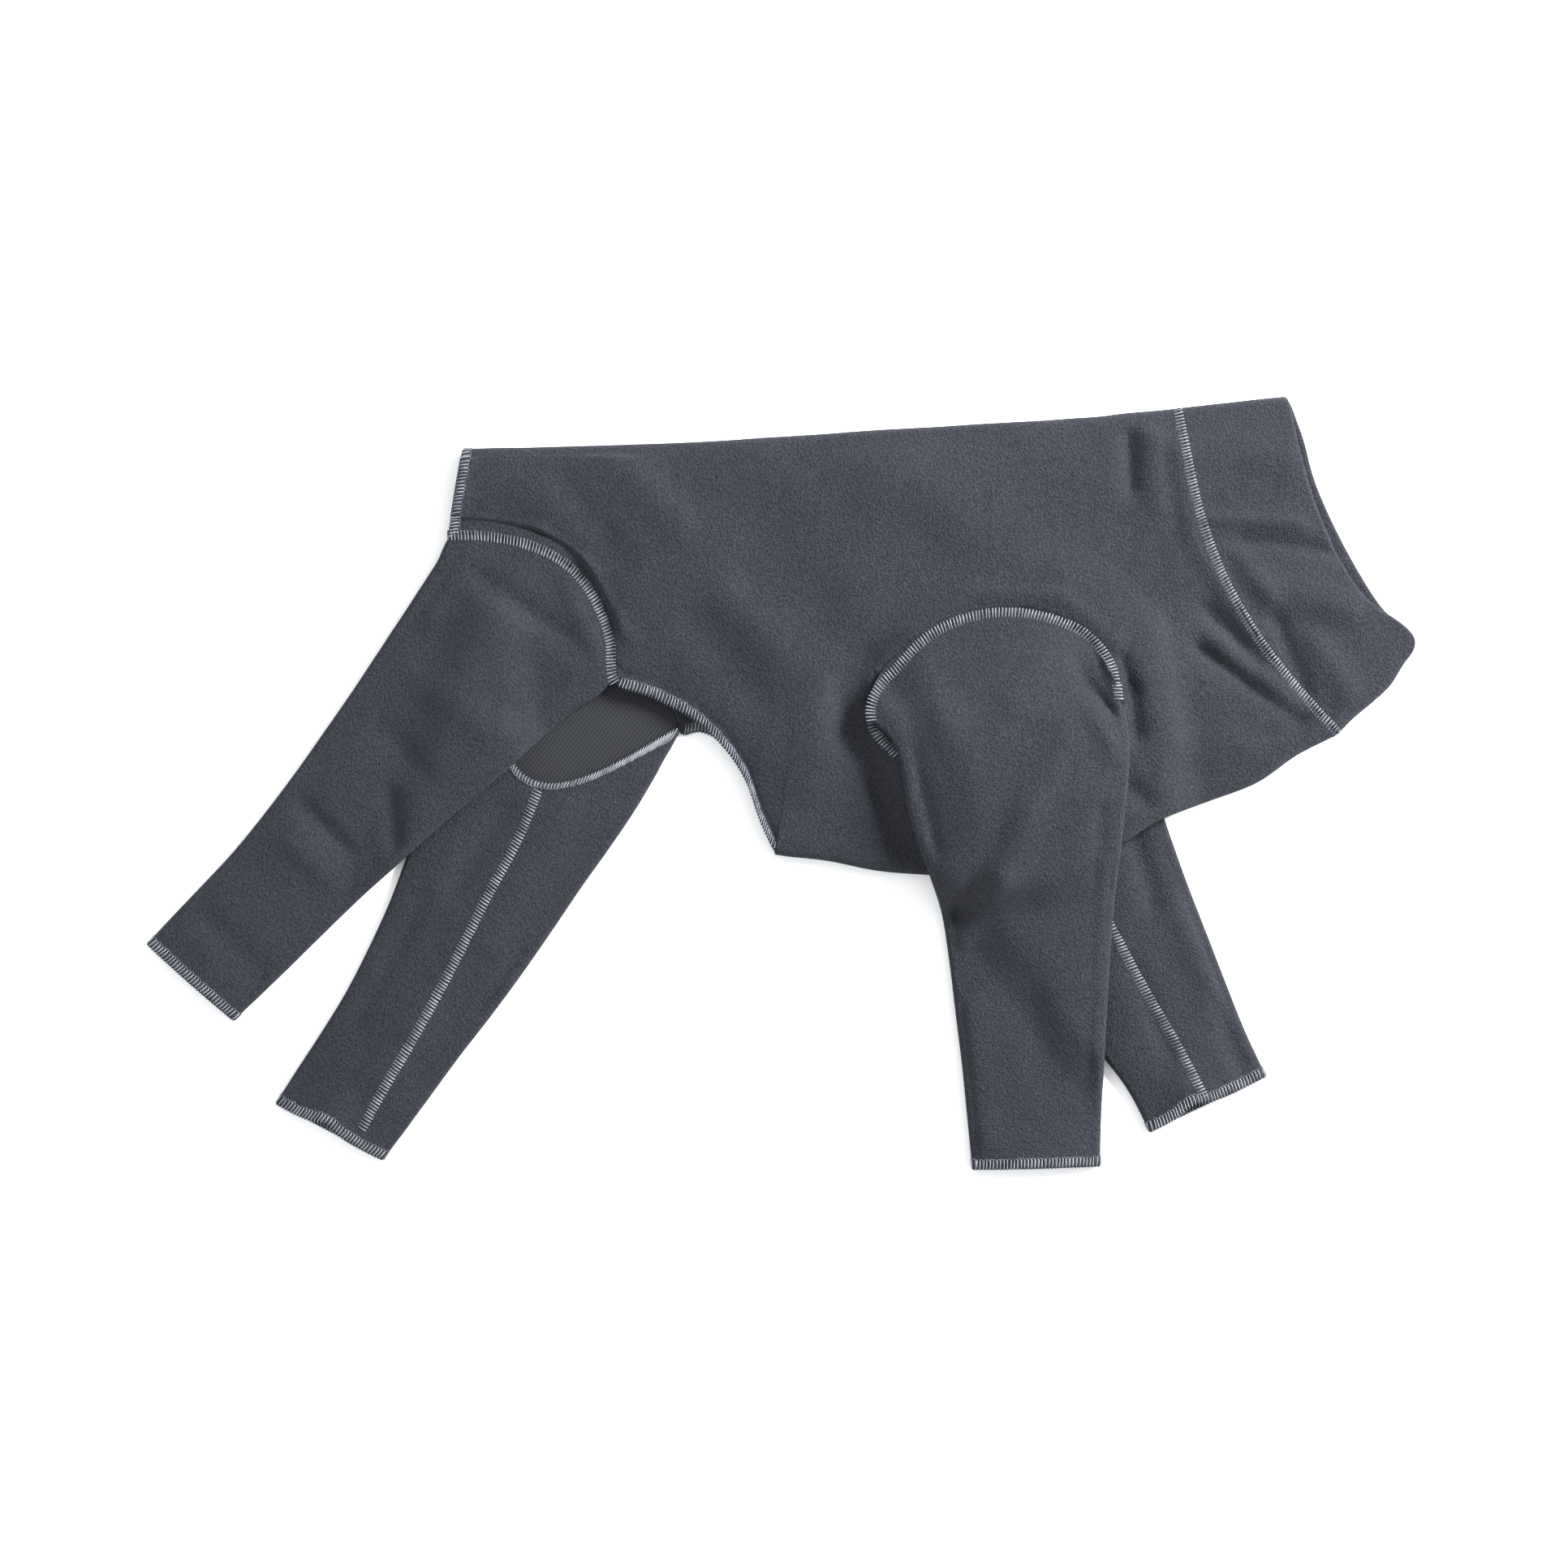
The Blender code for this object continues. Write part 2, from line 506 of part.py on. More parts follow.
def collar_grid(base):
    """Outer ply, folded front edge and inner ply of the collar, one after the other."""
    row = table(COLLAR_COLUMNS, COLLAR_ROWS)
    seam = table(TORSO_COLUMNS, TORSO_ROWS)
    shift = direction(NECK_HEADING) * 2 * SEAM_GAP
    back = plan(seam["back_x"][-1], seam["back_y"][-1]) + shift
    chest = plan(seam["near_x"][-1], seam["near_y"][-1]) + shift
    back = back + COLLAR_LENGTH * np.stack([row["back_x"], row["back_y"]], axis=-1)
    chest = chest + COLLAR_LENGTH * np.stack([row["chest_x"], row["chest_y"]], axis=-1)
    ply = WALL + PLY_GAP
    outer, inner = (
        torso_walls(
            back, chest, chest, row["near_bow"], row["far_bow"], np.ones(len(back)),
            row["crown"] * COLLAR_CROWN, base, inset,
        )[:, :-1]
        for inset in (0.0, ply)
    )
    between = (inner[-1] - outer[-1]) / ply
    forward = outer[-1] - outer[-2]
    forward -= np.sum(forward * between, axis=-1)[:, None] * between
    forward /= np.linalg.norm(forward, axis=-1)[:, None]
    turns = []
    for turn in np.linspace(0.0, math.pi, FOLD_CELLS + 1)[1:-1]:
        mixed = (1 + math.cos(turn)) / 2
        turns.append(outer[-1] * mixed + inner[-1] * (1 - mixed) + forward * math.sin(turn) * ply / 2)
    return np.concatenate([outer, np.array(turns), inner[::-1]])


def sleeve(rows, middle, tilt, length, angle, below, folds, base, torso=None):
    """A front leg and the rim of its armhole. Where it lies below the torso, the wall sewn to
    the higher arc is the lower one. On top of it, that wall starts flush with the torso's."""
    half = direction(tilt) * ARMHOLE_WIDTH / 2
    ends = (plan(*middle) - half, plan(*middle) + half)
    heading = direction(angle)
    away, towards = leg_root(*ends, ARMHOLE_RISE, ARMHOLE_DIP, heading)
    rim = np.concatenate([away, towards[-2:0:-1]])
    centre = rim.mean(axis=0)
    reach = np.linalg.norm(rim - centre, axis=-1)[:, None]
    hole = centre + (rim - centre) * (1 + SEAM_EASE / reach)
    ways = [-half / np.linalg.norm(half), half / np.linalg.norm(half)]
    over, under = (towards, away) if below else (away, towards)
    seam = None
    if torso is not None:
        tree = BVHTree.FromPolygons(torso[0].tolist(), torso[1])
        down = Vector((0.0, 0.0, -1.0))
        hits = [tree.ray_cast(Vector((*point, 1.0)), down)[0].z for point in over]
        seam = np.array([math.nan, *hits[1:-1], math.nan])
        turned = 2 * LEG_FOLD_RADIUS + WALL + REST_GAP
        seam[[1, -2]] += turned * SLEEVE_LIFT
    return leg_walls(rows, ends, length, heading, over, under, ways, folds, base, seam), hole


def build():
    floor = Floor()
    far_front, far_hole = sleeve(
        FAR_FRONT_ROWS, FAR_ARMHOLE, FAR_ARMHOLE_TILT, FAR_FRONT_LENGTH, FAR_FRONT_HEADING,
        True, FAR_FRONT_FOLDS, floor,
    )
    far_front_surface = grid_surface(far_front, True)
    torso_base = Drape(far_front_surface)
    torso = torso_grid(torso_base)
    collar = collar_grid(torso_base)
    torso_surface = grid_surface(torso, False)
    far_wall = torso[:, torso.shape[1] // 2:]

    heading = direction(FAR_HIND_HEADING)
    ends, hip, inner, ways = hip_root(torso[:HIP_ROWS, -1], heading)
    far_hind = leg_walls(
        FAR_HIND_ROWS, ends, FAR_HIND_LENGTH, heading, inner, hip, ways, FAR_HIND_FOLDS, floor,
    )
    far_hind_surface = grid_surface(far_hind, True)

    heading = direction(NEAR_HIND_HEADING)
    ends, hip, inner, ways = hip_root(torso[:HIP_ROWS, 0], heading)
    hip_height = along_curve(torso[:HIP_ROWS, 0], LEG_CELLS + 1)[:, 2]
    near_hind = leg_walls(
        NEAR_HIND_ROWS, ends, NEAR_HIND_LENGTH, heading, hip, inner, ways, NEAR_HIND_FOLDS,
        Drape(far_hind_surface, grid_surface(far_wall, False)), hip_height,
    )
    near_front, near_hole = sleeve(
        NEAR_FRONT_ROWS, NEAR_ARMHOLE, NEAR_ARMHOLE_TILT, NEAR_FRONT_LENGTH, NEAR_FRONT_HEADING,
        False, NEAR_FRONT_FOLDS, Drape(torso_surface, far_front_surface), torso_surface,
    )

    pieces = {
        "torso": (torso_surface, (0.074, 0.080, 0.100)),
        "collar": (grid_surface(collar, True), (0.078, 0.084, 0.104)),
        "front_leg_right": (grid_surface(near_front, True), (0.076, 0.082, 0.102)),
        "front_leg_left": (far_front_surface, (0.070, 0.076, 0.096)),
        "hind_leg_right": (grid_surface(near_hind, True), (0.076, 0.082, 0.102)),
        "hind_leg_left": (far_hind_surface, (0.070, 0.076, 0.096)),
    }
    points = np.concatenate([surface[0] for surface, colour in pieces.values()])
    offset = (points.min(axis=0) + points.max(axis=0)) / 2
    offset[2] = 0.0
    garment = collection("dog_jumpsuit")
    items = {name: add_cloth(name, *piece, garment, offset) for name, piece in pieces.items()}
    cutters = collection("armhole_cutters")
    rise = TORSO_FOLD_RADIUS + TORSO_CROWN / 3
    top = points[:, 2].max() + WALL
    near_cutter = add_cutter(
        "near_armhole", near_hole, lambda ring: torso_base.rest(ring) + rise, top, cutters, offset,
    )
    far_cutter = add_cutter(
        "far_armhole", far_hole, lambda ring: torso_base.rest(ring) + rise, -WALL, cutters, offset,
    )
    cut(items["torso"], near_cutter)
    cut(items["torso"], far_cutter)


for leftover in list(bpy.data.objects):
    bpy.data.objects.remove(leftover, do_unlink=True)
build()
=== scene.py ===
"""The fleece dog jumpsuit as photographed: the same garment as the part, with its cloth at full
detail, its folds, its stitching and its fleece."""
import bpy
import math
import numpy as np
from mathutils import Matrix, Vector
from mathutils.bvhtree import BVHTree


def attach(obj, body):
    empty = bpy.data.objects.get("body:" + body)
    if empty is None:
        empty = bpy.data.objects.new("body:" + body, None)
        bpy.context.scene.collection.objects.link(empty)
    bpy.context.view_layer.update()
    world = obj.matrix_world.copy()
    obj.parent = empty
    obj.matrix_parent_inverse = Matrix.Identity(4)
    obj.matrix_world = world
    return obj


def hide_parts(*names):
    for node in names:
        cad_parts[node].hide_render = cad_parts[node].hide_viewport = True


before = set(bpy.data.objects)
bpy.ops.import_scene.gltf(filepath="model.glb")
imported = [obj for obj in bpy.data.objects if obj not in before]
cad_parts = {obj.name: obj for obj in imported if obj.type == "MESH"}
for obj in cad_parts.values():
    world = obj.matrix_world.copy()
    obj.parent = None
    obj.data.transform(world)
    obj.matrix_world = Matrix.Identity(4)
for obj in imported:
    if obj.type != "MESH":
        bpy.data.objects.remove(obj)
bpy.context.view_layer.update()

# Main sizes of the garment, laid flat
BACK_LENGTH = 0.440  # tail edge to collar seam, along the back fold
TORSO_DEPTH = 0.275  # back fold at the tail to the lowest point of the belly
COLLAR_LENGTH = 0.0695  # collar seam to folded collar edge, along the back
NEAR_HIND_LENGTH = 0.312  # middle of a leg's root to the middle of its hem, in plan
FAR_HIND_LENGTH = 0.3185
NEAR_FRONT_LENGTH = 0.2855
FAR_FRONT_LENGTH = 0.283
ARMHOLE_WIDTH = 0.152  # across the leg
ARMHOLE_RISE = 0.059  # from the middle of the armhole up to its highest point
ARMHOLE_DIP = 0.0275  # from the middle of the armhole down to its lowest point
CROTCH_DIP = 0.070  # how far the inner edge of a hind leg dips below its hip

# Cloth
WALL = 0.0022  # fleece thickness
SEAM_GAP = 0.0003  # left between two sewn edges
REST_GAP = 0.0006  # left between two walls that lie on each other
PLY_GAP = 0.0006  # left between the two plies of the collar
TORSO_FOLD_RADIUS = 0.0046
LEG_FOLD_RADIUS = 0.0026
TORSO_CROWN = 0.009  # how far the middle of the torso stands above its folds
COLLAR_CROWN = 0.0075
LEG_CROWN = 0.0040
DRAPE_REACH = 0.012  # how far a wall spans beside what it lies on

# Mesh density
TORSO_CELLS = 96
LEG_CELLS = 34
FOLD_CELLS = 8
LEG_ROWS = 120
TORSO_STEPS = 7  # mesh rows from one section of the torso to the next
COLLAR_STEPS = 8
MAP_CELL = 0.003  # cell of the height map that a wall is draped over
MAP_MARGIN = 0.050
MESH_REACH = 0.004  # what a draped wall clears beside its own mesh points
EDGE_CROWDING = 0.3  # how far a wall's columns crowd towards its edges
ROOT_CROWDING = 1.15  # how far a leg's rows crowd towards its root

# Torso sections, tail to collar. The back and edge points are shares of BACK_LENGTH along and
# TORSO_DEPTH down, from the tail end of the back fold. The near and far edges are the two sides
# of the opening under the belly, and they meet where closed is 1. The bow is a share of
# TORSO_DEPTH and the crown a share of TORSO_CROWN.
TORSO_COLUMNS = ("back_x", "back_y", "near_x", "near_y", "far_x", "far_y", "closed", "bow", "crown")
TORSO_ROWS = (
    (0.000, 0.000, -0.021, 0.195, 0.036, 0.413, 0, 0.000, 0.15),
    (0.040, -0.002, 0.025, 0.196, 0.091, 0.416, 0, 0.000, 0.30),
    (0.085, -0.003, 0.074, 0.209, 0.148, 0.436, 0, 0.000, 0.42),
    (0.131, -0.005, 0.119, 0.235, 0.199, 0.467, 0, 0.000, 0.52),
    (0.173, -0.007, 0.157, 0.278, 0.244, 0.507, 0, 0.000, 0.60),
    (0.214, -0.009, 0.187, 0.347, 0.278, 0.553, 0, 0.000, 0.65),
    (0.252, -0.011, 0.206, 0.431, 0.298, 0.598, 0, 0.000, 0.68),
    (0.290, -0.013, 0.212, 0.524, 0.305, 0.640, 0, 0.000, 0.70),
    (0.332, -0.016, 0.265, 0.558, 0.332, 0.635, 0, 0.000, 0.70),
    (0.375, -0.020, 0.318, 0.602, 0.359, 0.656, 0, 0.000, 0.70),
    (0.418, -0.025, 0.362, 0.664, 0.381, 0.700, 0, 0.000, 0.72),
    (0.460, -0.029, 0.395, 0.742, 0.402, 0.757, 0, 0.000, 0.76),
    (0.500, -0.033, 0.416, 0.835, 0.418, 0.838, 0, 0.000, 0.82),
    (0.525, -0.036, 0.4365, 0.903, 0.4365, 0.903, 0, 0.000, 0.86),
    (0.540, -0.038, 0.446, 0.913, 0.446, 0.913, 1, 0.000, 0.88),
    (0.585, -0.043, 0.511, 0.925, 0.511, 0.925, 1, 0.000, 0.94),
    (0.631, -0.047, 0.580, 0.947, 0.580, 0.947, 1, 0.000, 1.00),
    (0.676, -0.051, 0.648, 0.956, 0.648, 0.956, 1, 0.000, 1.00),
    (0.722, -0.056, 0.716, 0.960, 0.716, 0.960, 1, 0.000, 1.00),
    (0.767, -0.060, 0.784, 0.953, 0.784, 0.953, 1, 0.000, 1.00),
    (0.813, -0.064, 0.852, 0.931, 0.852, 0.931, 1, 0.000, 1.00),
    (0.855, -0.069, 0.915, 0.891, 0.915, 0.891, 1, 0.010, 1.00),
    (0.892, -0.073, 0.975, 0.833, 0.975, 0.833, 1, 0.025, 0.95),
    (0.926, -0.080, 1.045, 0.791, 1.045, 0.791, 1, 0.042, 0.90),
    (0.955, -0.084, 1.114, 0.749, 1.114, 0.749, 1, 0.058, 0.85),
    (0.977, -0.087, 1.170, 0.687, 1.170, 0.687, 1, 0.070, 0.80),
    (1.000, -0.091, 1.226, 0.642, 1.226, 0.642, 1, 0.081, 0.78),
)
HIP_ROWS = 8  # the hip seams run along the edges of this many first sections
CLOSING_ROW = 12.9  # the section from which the two walls are joined at the belly
CLOSING_SPAN = 0.4

# Collar sections, from the seam to the folded edge, as shares of COLLAR_LENGTH from the two
# ends of the seam. The bows are shares of TORSO_DEPTH.
COLLAR_COLUMNS = ("back_x", "back_y", "chest_x", "chest_y", "near_bow", "far_bow", "crown")
COLLAR_ROWS = (
    (0.00, 0.000, 0.00, 0.00, 0.081, 0.081, 0.95),
    (0.26, 0.030, 0.15, 0.17, 0.079, 0.076, 1.00),
    (0.52, 0.060, 0.35, 0.37, 0.076, 0.069, 1.00),
    (0.76, 0.090, 0.54, 0.59, 0.073, 0.060, 1.00),
    (0.98, 0.115, 0.69, 0.86, 0.069, 0.050, 0.95),
)

# Leg sections, from the root to the hem. The fades hold along, a share of the leg's length, over
# and under, how much of the root's curve a near leg's upper and lower wall still have there,
# and joined, how far the upper wall still keeps the height of its seam. In a far leg the two
# walls change places. The widths hold rear and front, shares of half the root's width from the
# leg's axis to each of its two folds.
LEG_COLUMNS = ("along", "rear", "front", "over", "under", "joined")
HIND_FADES = (
    (0.000, 1.00, 1.00, 1.0),
    (0.050, 0.86, 0.84, 0.8),
    (0.100, 0.72, 0.71, 0.6),
    (0.170, 0.54, 0.55, 0.3),
    (0.250, 0.36, 0.38, 0.1),
    (0.350, 0.17, 0.21, 0.0),
    (0.450, 0.06, 0.09, 0.0),
    (0.550, 0.00, 0.03, 0.0),
    (0.650, 0.00, 0.00, 0.0),
    (0.750, 0.00, 0.00, 0.0),
    (0.850, 0.00, 0.00, 0.0),
    (0.930, 0.00, 0.00, 0.0),
    (1.000, 0.00, 0.00, 0.0),
)
FRONT_FADES = (
    (0.000, 1.00, 1.00, 1.0),
    (0.044, 0.76, 0.72, 0.5),
    (0.088, 0.62, 0.54, 0.2),
    (0.141, 0.50, 0.40, 0.0),
    (0.203, 0.38, 0.27, 0.0),
    (0.274, 0.26, 0.15, 0.0),
    (0.353, 0.15, 0.06, 0.0),
    (0.442, 0.06, 0.02, 0.0),
    (0.548, 0.00, 0.00, 0.0),
    (0.663, 0.00, 0.00, 0.0),
    (0.777, 0.00, 0.00, 0.0),
    (0.892, 0.00, 0.00, 0.0),
    (1.000, 0.00, 0.00, 0.0),
)
NEAR_HIND_WIDTHS = (
    (1.000, 0.922, 0.882, 0.833, 0.779, 0.712, 0.654, 0.600, 0.560, 0.537, 0.545, 0.555, 0.560),
    (1.000, 0.960, 0.895, 0.850, 0.825, 0.765, 0.700, 0.653, 0.600, 0.567, 0.540, 0.514, 0.490),
)
FAR_HIND_WIDTHS = (
    (1.000, 0.960, 0.920, 0.864, 0.800, 0.720, 0.640, 0.562, 0.517, 0.495, 0.510, 0.532, 0.545),
    (1.000, 0.977, 0.983, 0.980, 0.955, 0.910, 0.875, 0.835, 0.781, 0.714, 0.661, 0.618, 0.580),
)
NEAR_FRONT_WIDTHS = (
    (1.000, 0.863, 0.784, 0.765, 0.755, 0.713, 0.640, 0.560, 0.535, 0.523, 0.510, 0.507, 0.505),
    (1.000, 1.020, 1.027, 1.012, 0.978, 0.932, 0.882, 0.825, 0.760, 0.695, 0.637, 0.582, 0.539),
)
FAR_FRONT_WIDTHS = (
    (1.000, 0.980, 0.959, 0.935, 0.906, 0.873, 0.837, 0.794, 0.736, 0.674, 0.597, 0.507, 0.490),
    (1.000, 0.966, 0.933, 0.892, 0.845, 0.785, 0.725, 0.688, 0.651, 0.621, 0.590, 0.564, 0.563),
)
NEAR_HIND_HEADING = 228.0  # degrees anticlockwise from +X, root to hem
FAR_HIND_HEADING = 240.1
NEAR_FRONT_HEADING = 275.3
FAR_FRONT_HEADING = 295.3
NEAR_ARMHOLE = (0.741, 0.580)  # middles of the armholes, as shares like those of the torso
FAR_ARMHOLE = (0.764, 0.545)
NEAR_ARMHOLE_TILT = 1.5  # degrees, of the armhole's width
FAR_ARMHOLE_TILT = 25.6
ARMHOLE_SKEW = 0.20  # how much fuller an armhole is towards the chest
NECK_HEADING = 25.0  # degrees, from the collar seam to the collar's front edge


# Where the part's frame has its origin, from the tail end of the back fold
ORIGIN = np.array([0.197278, -0.206341, 0.0])
HALF_MM = 0.0005
SQUARE_MIDDLE = 965.0

# Folds, dents and puffs of the upper walls, in half millimetres from the left and from the top
# of a 966 mm square round the garment: two ends, half width, and height in millimetres.
TORSO_FOLDS = (
    (1064, 816, 1044, 850, 20, -2.4),
    (1044, 850, 1052, 905, 20, -2.6),
    (1052, 905, 1084, 965, 18, -2.4),
    (1084, 965, 1112, 1060, 18, -1.8),
    (1010, 850, 1000, 960, 26, 1.5),
    (1380, 812, 1392, 850, 8, -2.2),
    (1392, 850, 1398, 905, 10, -2.6),
    (1418, 780, 1442, 905, 20, 2.2),
    (1488, 755, 1545, 815, 13, -2.4),
    (1500, 790, 1592, 872, 13, 2.2),
    (1478, 800, 1600, 885, 10, -2.2),
    (1390, 970, 1424, 1004, 12, -2.2),
    (1440, 940, 1560, 890, 20, 1.2),
    (1389, 505, 1393, 600, 12, -2.4),
    (1420, 520, 1424, 620, 16, 1.4),
    (760, 570, 835, 645, 26, 1.6),
    (700, 600, 760, 680, 20, -1.2),
    (1085, 590, 1140, 595, 45, 1.6),
    (930, 640, 1010, 760, 40, -1.2),
    (860, 780, 930, 860, 26, -1.4),
    (900, 740, 960, 800, 26, 1.4),
    (590, 643, 668, 659, 9, 1.0),
    (668, 659, 728, 700, 9, 1.1),
    (728, 700, 772, 780, 9, 1.0),
    (1120, 780, 1180, 742, 12, 1.4),
    (1200, 732, 1300, 736, 12, 1.4),
    (1320, 748, 1376, 800, 12, 1.2),
    (1180, 640, 1300, 700, 40, 1.2),
    (1560, 905, 1640, 880, 14, -1.2),
    (575, 560, 565, 650, 9, 1.0),
    (1450, 560, 1468, 660, 14, 1.4),
    (1482, 690, 1540, 780, 12, 1.2),
    (1528, 690, 1560, 730, 12, 1.0),
    (1530, 665, 1640, 662, 11, -1.8),
    (1490, 640, 1600, 636, 8, 1.2),
    (1560, 725, 1650, 728, 24, 1.8),
    (1572, 765, 1606, 850, 12, -1.8),
    (1620, 790, 1660, 850, 16, 1.4),
    (1480, 560, 1580, 560, 26, 1.2),
)
NEAR_HIND_FOLDS = (
    (620, 745, 690, 800, 34, 1.8),
    (596, 715, 694, 785, 15, -2.0),
    (700, 730, 735, 800, 14, 1.4),
    (560, 680, 530, 760, 14, 1.2),
    (540, 850, 600, 900, 24, 1.2),
    (470, 900, 520, 950, 18, -1.2),
    (378, 998, 424, 1044, 13, -2.0),
    (360, 1040, 400, 1080, 16, 1.4),
    (484, 985, 490, 1042, 11, -1.8),
    (250, 1130, 320, 1200, 16, -1.0),
    (640, 880, 690, 850, 12, -1.2),
)
FAR_HIND_FOLDS = (
    (690, 1010, 600, 1150, 26, 1.6),
    (620, 1000, 560, 1090, 14, -1.4),
    (560, 1180, 470, 1320, 18, 1.2),
    (640, 1180, 600, 1240, 12, -1.2),
    (520, 1110, 440, 1260, 12, -1.0),
)
NEAR_FRONT_FOLDS = (
    (1160, 1155, 1196, 1090, 12, -1.7),
    (1196, 1090, 1225, 1015, 14, -0.8),
    (1190, 1155, 1232, 1080, 11, 1.5),
    (1232, 1080, 1262, 1000, 14, 1.5),
    (1262, 1000, 1306, 912, 18, 1.2),
    (1262, 1110, 1312, 1000, 18, -0.7),
    (1352, 1000, 1345, 1310, 9, -1.0),
    (1356, 1060, 1350, 1290, 10, 1.2),
    (1326, 818, 1337, 846, 8, -1.8),
    (1337, 846, 1370, 880, 7, -1.8),
    (1345, 885, 1372, 925, 13, 1.4),
    (1290, 800, 1250, 860, 20, 1.4),
    (1130, 830, 1160, 900, 20, 1.2),
    (1120, 930, 1150, 1040, 13, -1.4),
    (1165, 880, 1200, 1000, 24, 1.2),
    (1200, 1250, 1215, 1400, 18, 1.0),
    (1270, 1200, 1285, 1330, 20, -1.0),
)
FAR_FRONT_FOLDS = (
    (1395, 1020, 1420, 1110, 14, -2.0),
    (1450, 1120, 1500, 1240, 18, 1.4),
    (1400, 1200, 1440, 1300, 12, -1.2),
    (1500, 1240, 1530, 1320, 12, -1.0),
)
FOLD_GAIN = 1.9  # how much more the folds rise than their tables say
TORSO_DENT = 0.0055  # deepest dent of the torso's upper wall
LEG_DENT = 0.0024  # deepest dent of a leg's upper wall at its folds
LEG_MIDDLE_DENT = 0.0034  # how much deeper a dent may be in the middle of a leg

# Lines that the camera sees, as points of the same square: both walls' front edges of the
# collar, and the seams that aren't an edge of a panel here.
COLLAR_NEAR_FRONT = (
    (1732, 818), (1745, 800), (1744, 784), (1723, 766), (1698, 752), (1675, 732), (1659, 708), (1640, 671),
    (1622, 631), (1607, 582), (1599, 552), (1594, 521), (1589, 496), (1584, 488),
)
COLLAR_FAR_FRONT = (
    (1584, 488), (1590, 498), (1598, 521), (1606, 542), (1617, 590), (1641, 645), (1666, 693), (1698, 746),
    (1718, 766), (1742, 786), (1743, 801), (1730, 818),
)
FAR_FRONT_SEAM = ((1366, 1138), (1390, 1184), (1412, 1224), (1452, 1292), (1482, 1350))
FAR_HIND_SEAM = (
    (662, 974), (649, 1010), (628, 1055), (602, 1100), (568, 1170), (518, 1265), (470, 1345), (446, 1390),
)
NEAR_ARMHOLE_SEAM = (
    (1104, 929), (1093, 919), (1081, 907), (1073, 892), (1071, 874), (1076, 857), (1087, 841), (1109, 819),
    (1127, 798), (1151, 779), (1176, 767), (1207, 758), (1240, 755), (1274, 758), (1304, 767), (1332, 779),
    (1353, 800), (1366, 821), (1371, 842), (1373, 862),
)
COLLAR_NEAR_HEIGHT = 0.016  # of the collar's front edges, where the camera sees them
COLLAR_FAR_HEIGHT = 0.006

# Stitches
STITCH_PITCH = 0.0020
OVERLOCK_PITCH = 0.0021
BAND = 0.0064  # width of a seam's stitches
THREAD = 0.00030  # radius
STITCH_STEP = 0.006  # the highest step that a stitch follows

# Looks, lights and camera
PILE_SCALE = 640.0  # curls of the pile in a metre
SHEEN_TINT = (0.82, 0.86, 1.0, 1.0)
PILE_DARK, PILE_LIGHT = (0.0165, 0.0176, 0.0215), (0.0300, 0.0320, 0.0390)
RIB_DARK, RIB_LIGHT = (0.0165, 0.0175, 0.020), (0.0255, 0.0268, 0.0305)
RIB_ANGLE = 38.0  # degrees
# a darker copy of the thread's colours: painted shade of the pile, for threads that lie in it
PILE_SHADED_THREAD = ((0.060, 0.063, 0.074), (0.140, 0.147, 0.168))
TOP_THREAD = ((0.13, 0.136, 0.155), (0.24, 0.25, 0.275))
FLOOR_WHITE = (0.93, 0.93, 0.93, 1.0)
FLOOR_SIZE = 6.0
FLOOR_DROP = 0.0002  # how far the floor lies under the cloth
SKY = (0.96, 0.98, 1.0, 1.0)
SKY_STRENGTH = 1.15
KEY_LIGHT = ((1.8, 1.1, 1.3), 1.1, 240.0)  # place, size and watts
FILL_LIGHT = ((-1.3, -0.6, 1.9), 1.6, 14.0)
CAMERA_HEIGHT = 2.41
CAMERA_SHIFT = 0.0005
SENSOR = 36.0  # mm
VIEW_DISTANCE = 2.4  # at which the picture is VIEW_WIDTH wide
VIEW_WIDTH = 0.966

DOWN = Vector((0.0, 0.0, -1.0))
TURN = np.linspace(0.0, math.pi / 2, FOLD_CELLS // 2 + 1)[1:]  # the turns of half a fold


def table(columns, rows):
    return dict(zip(columns, np.array(rows, float).T))


def fine(columns, rows, places):
    """A table's columns read at fractional row numbers along smooth curves."""
    values = np.array(rows, float)
    last = len(values) - 1
    base = np.clip(np.floor(places).astype(int), 0, last - 1)
    f = (places - base)[:, None]
    p0 = values[np.clip(base - 1, 0, last)]
    p1, p2 = values[base], values[base + 1]
    p3 = values[np.clip(base + 2, 0, last)]
    curve = 0.5 * (
        2 * p1 + (p2 - p0) * f + (2 * p0 - 5 * p1 + 4 * p2 - p3) * f ** 2
        + (3 * p1 - p0 - 3 * p2 + p3) * f ** 3
    )
    return dict(zip(columns, curve.T))


def sheet_point(u, v):
    """Plan point of the garment from half millimetres right and down in the square."""
    across, up = np.asarray(u) - SQUARE_MIDDLE, SQUARE_MIDDLE - np.asarray(v)
    return np.stack([across * HALF_MM, up * HALF_MM], axis=-1) + ORIGIN[:2]


def plan(along, down):
    return np.stack([np.asarray(along) * BACK_LENGTH, -np.asarray(down) * TORSO_DEPTH], axis=-1)


def direction(degrees):
    return np.array([math.cos(math.radians(degrees)), math.sin(math.radians(degrees))])


def ramp(share):
    share = np.clip(share, 0.0, 1.0)
    return share * share * (3.0 - 2.0 * share)


def waves(points, wavelength, seed):
    """A smooth field of soft rolls, between about -1 and 1."""
    chance = np.random.RandomState(seed)
    total = np.zeros(points.shape[:-1])
    for k in range(10):
        angle = chance.uniform(0, math.pi)
        length = wavelength * chance.uniform(0.7, 1.5)
        phase = chance.uniform(0, 2 * math.pi)
        along = points[..., 0] * math.cos(angle) + points[..., 1] * math.sin(angle)
        total += np.sin(2 * math.pi * along / length + phase)
    return total / 4.5


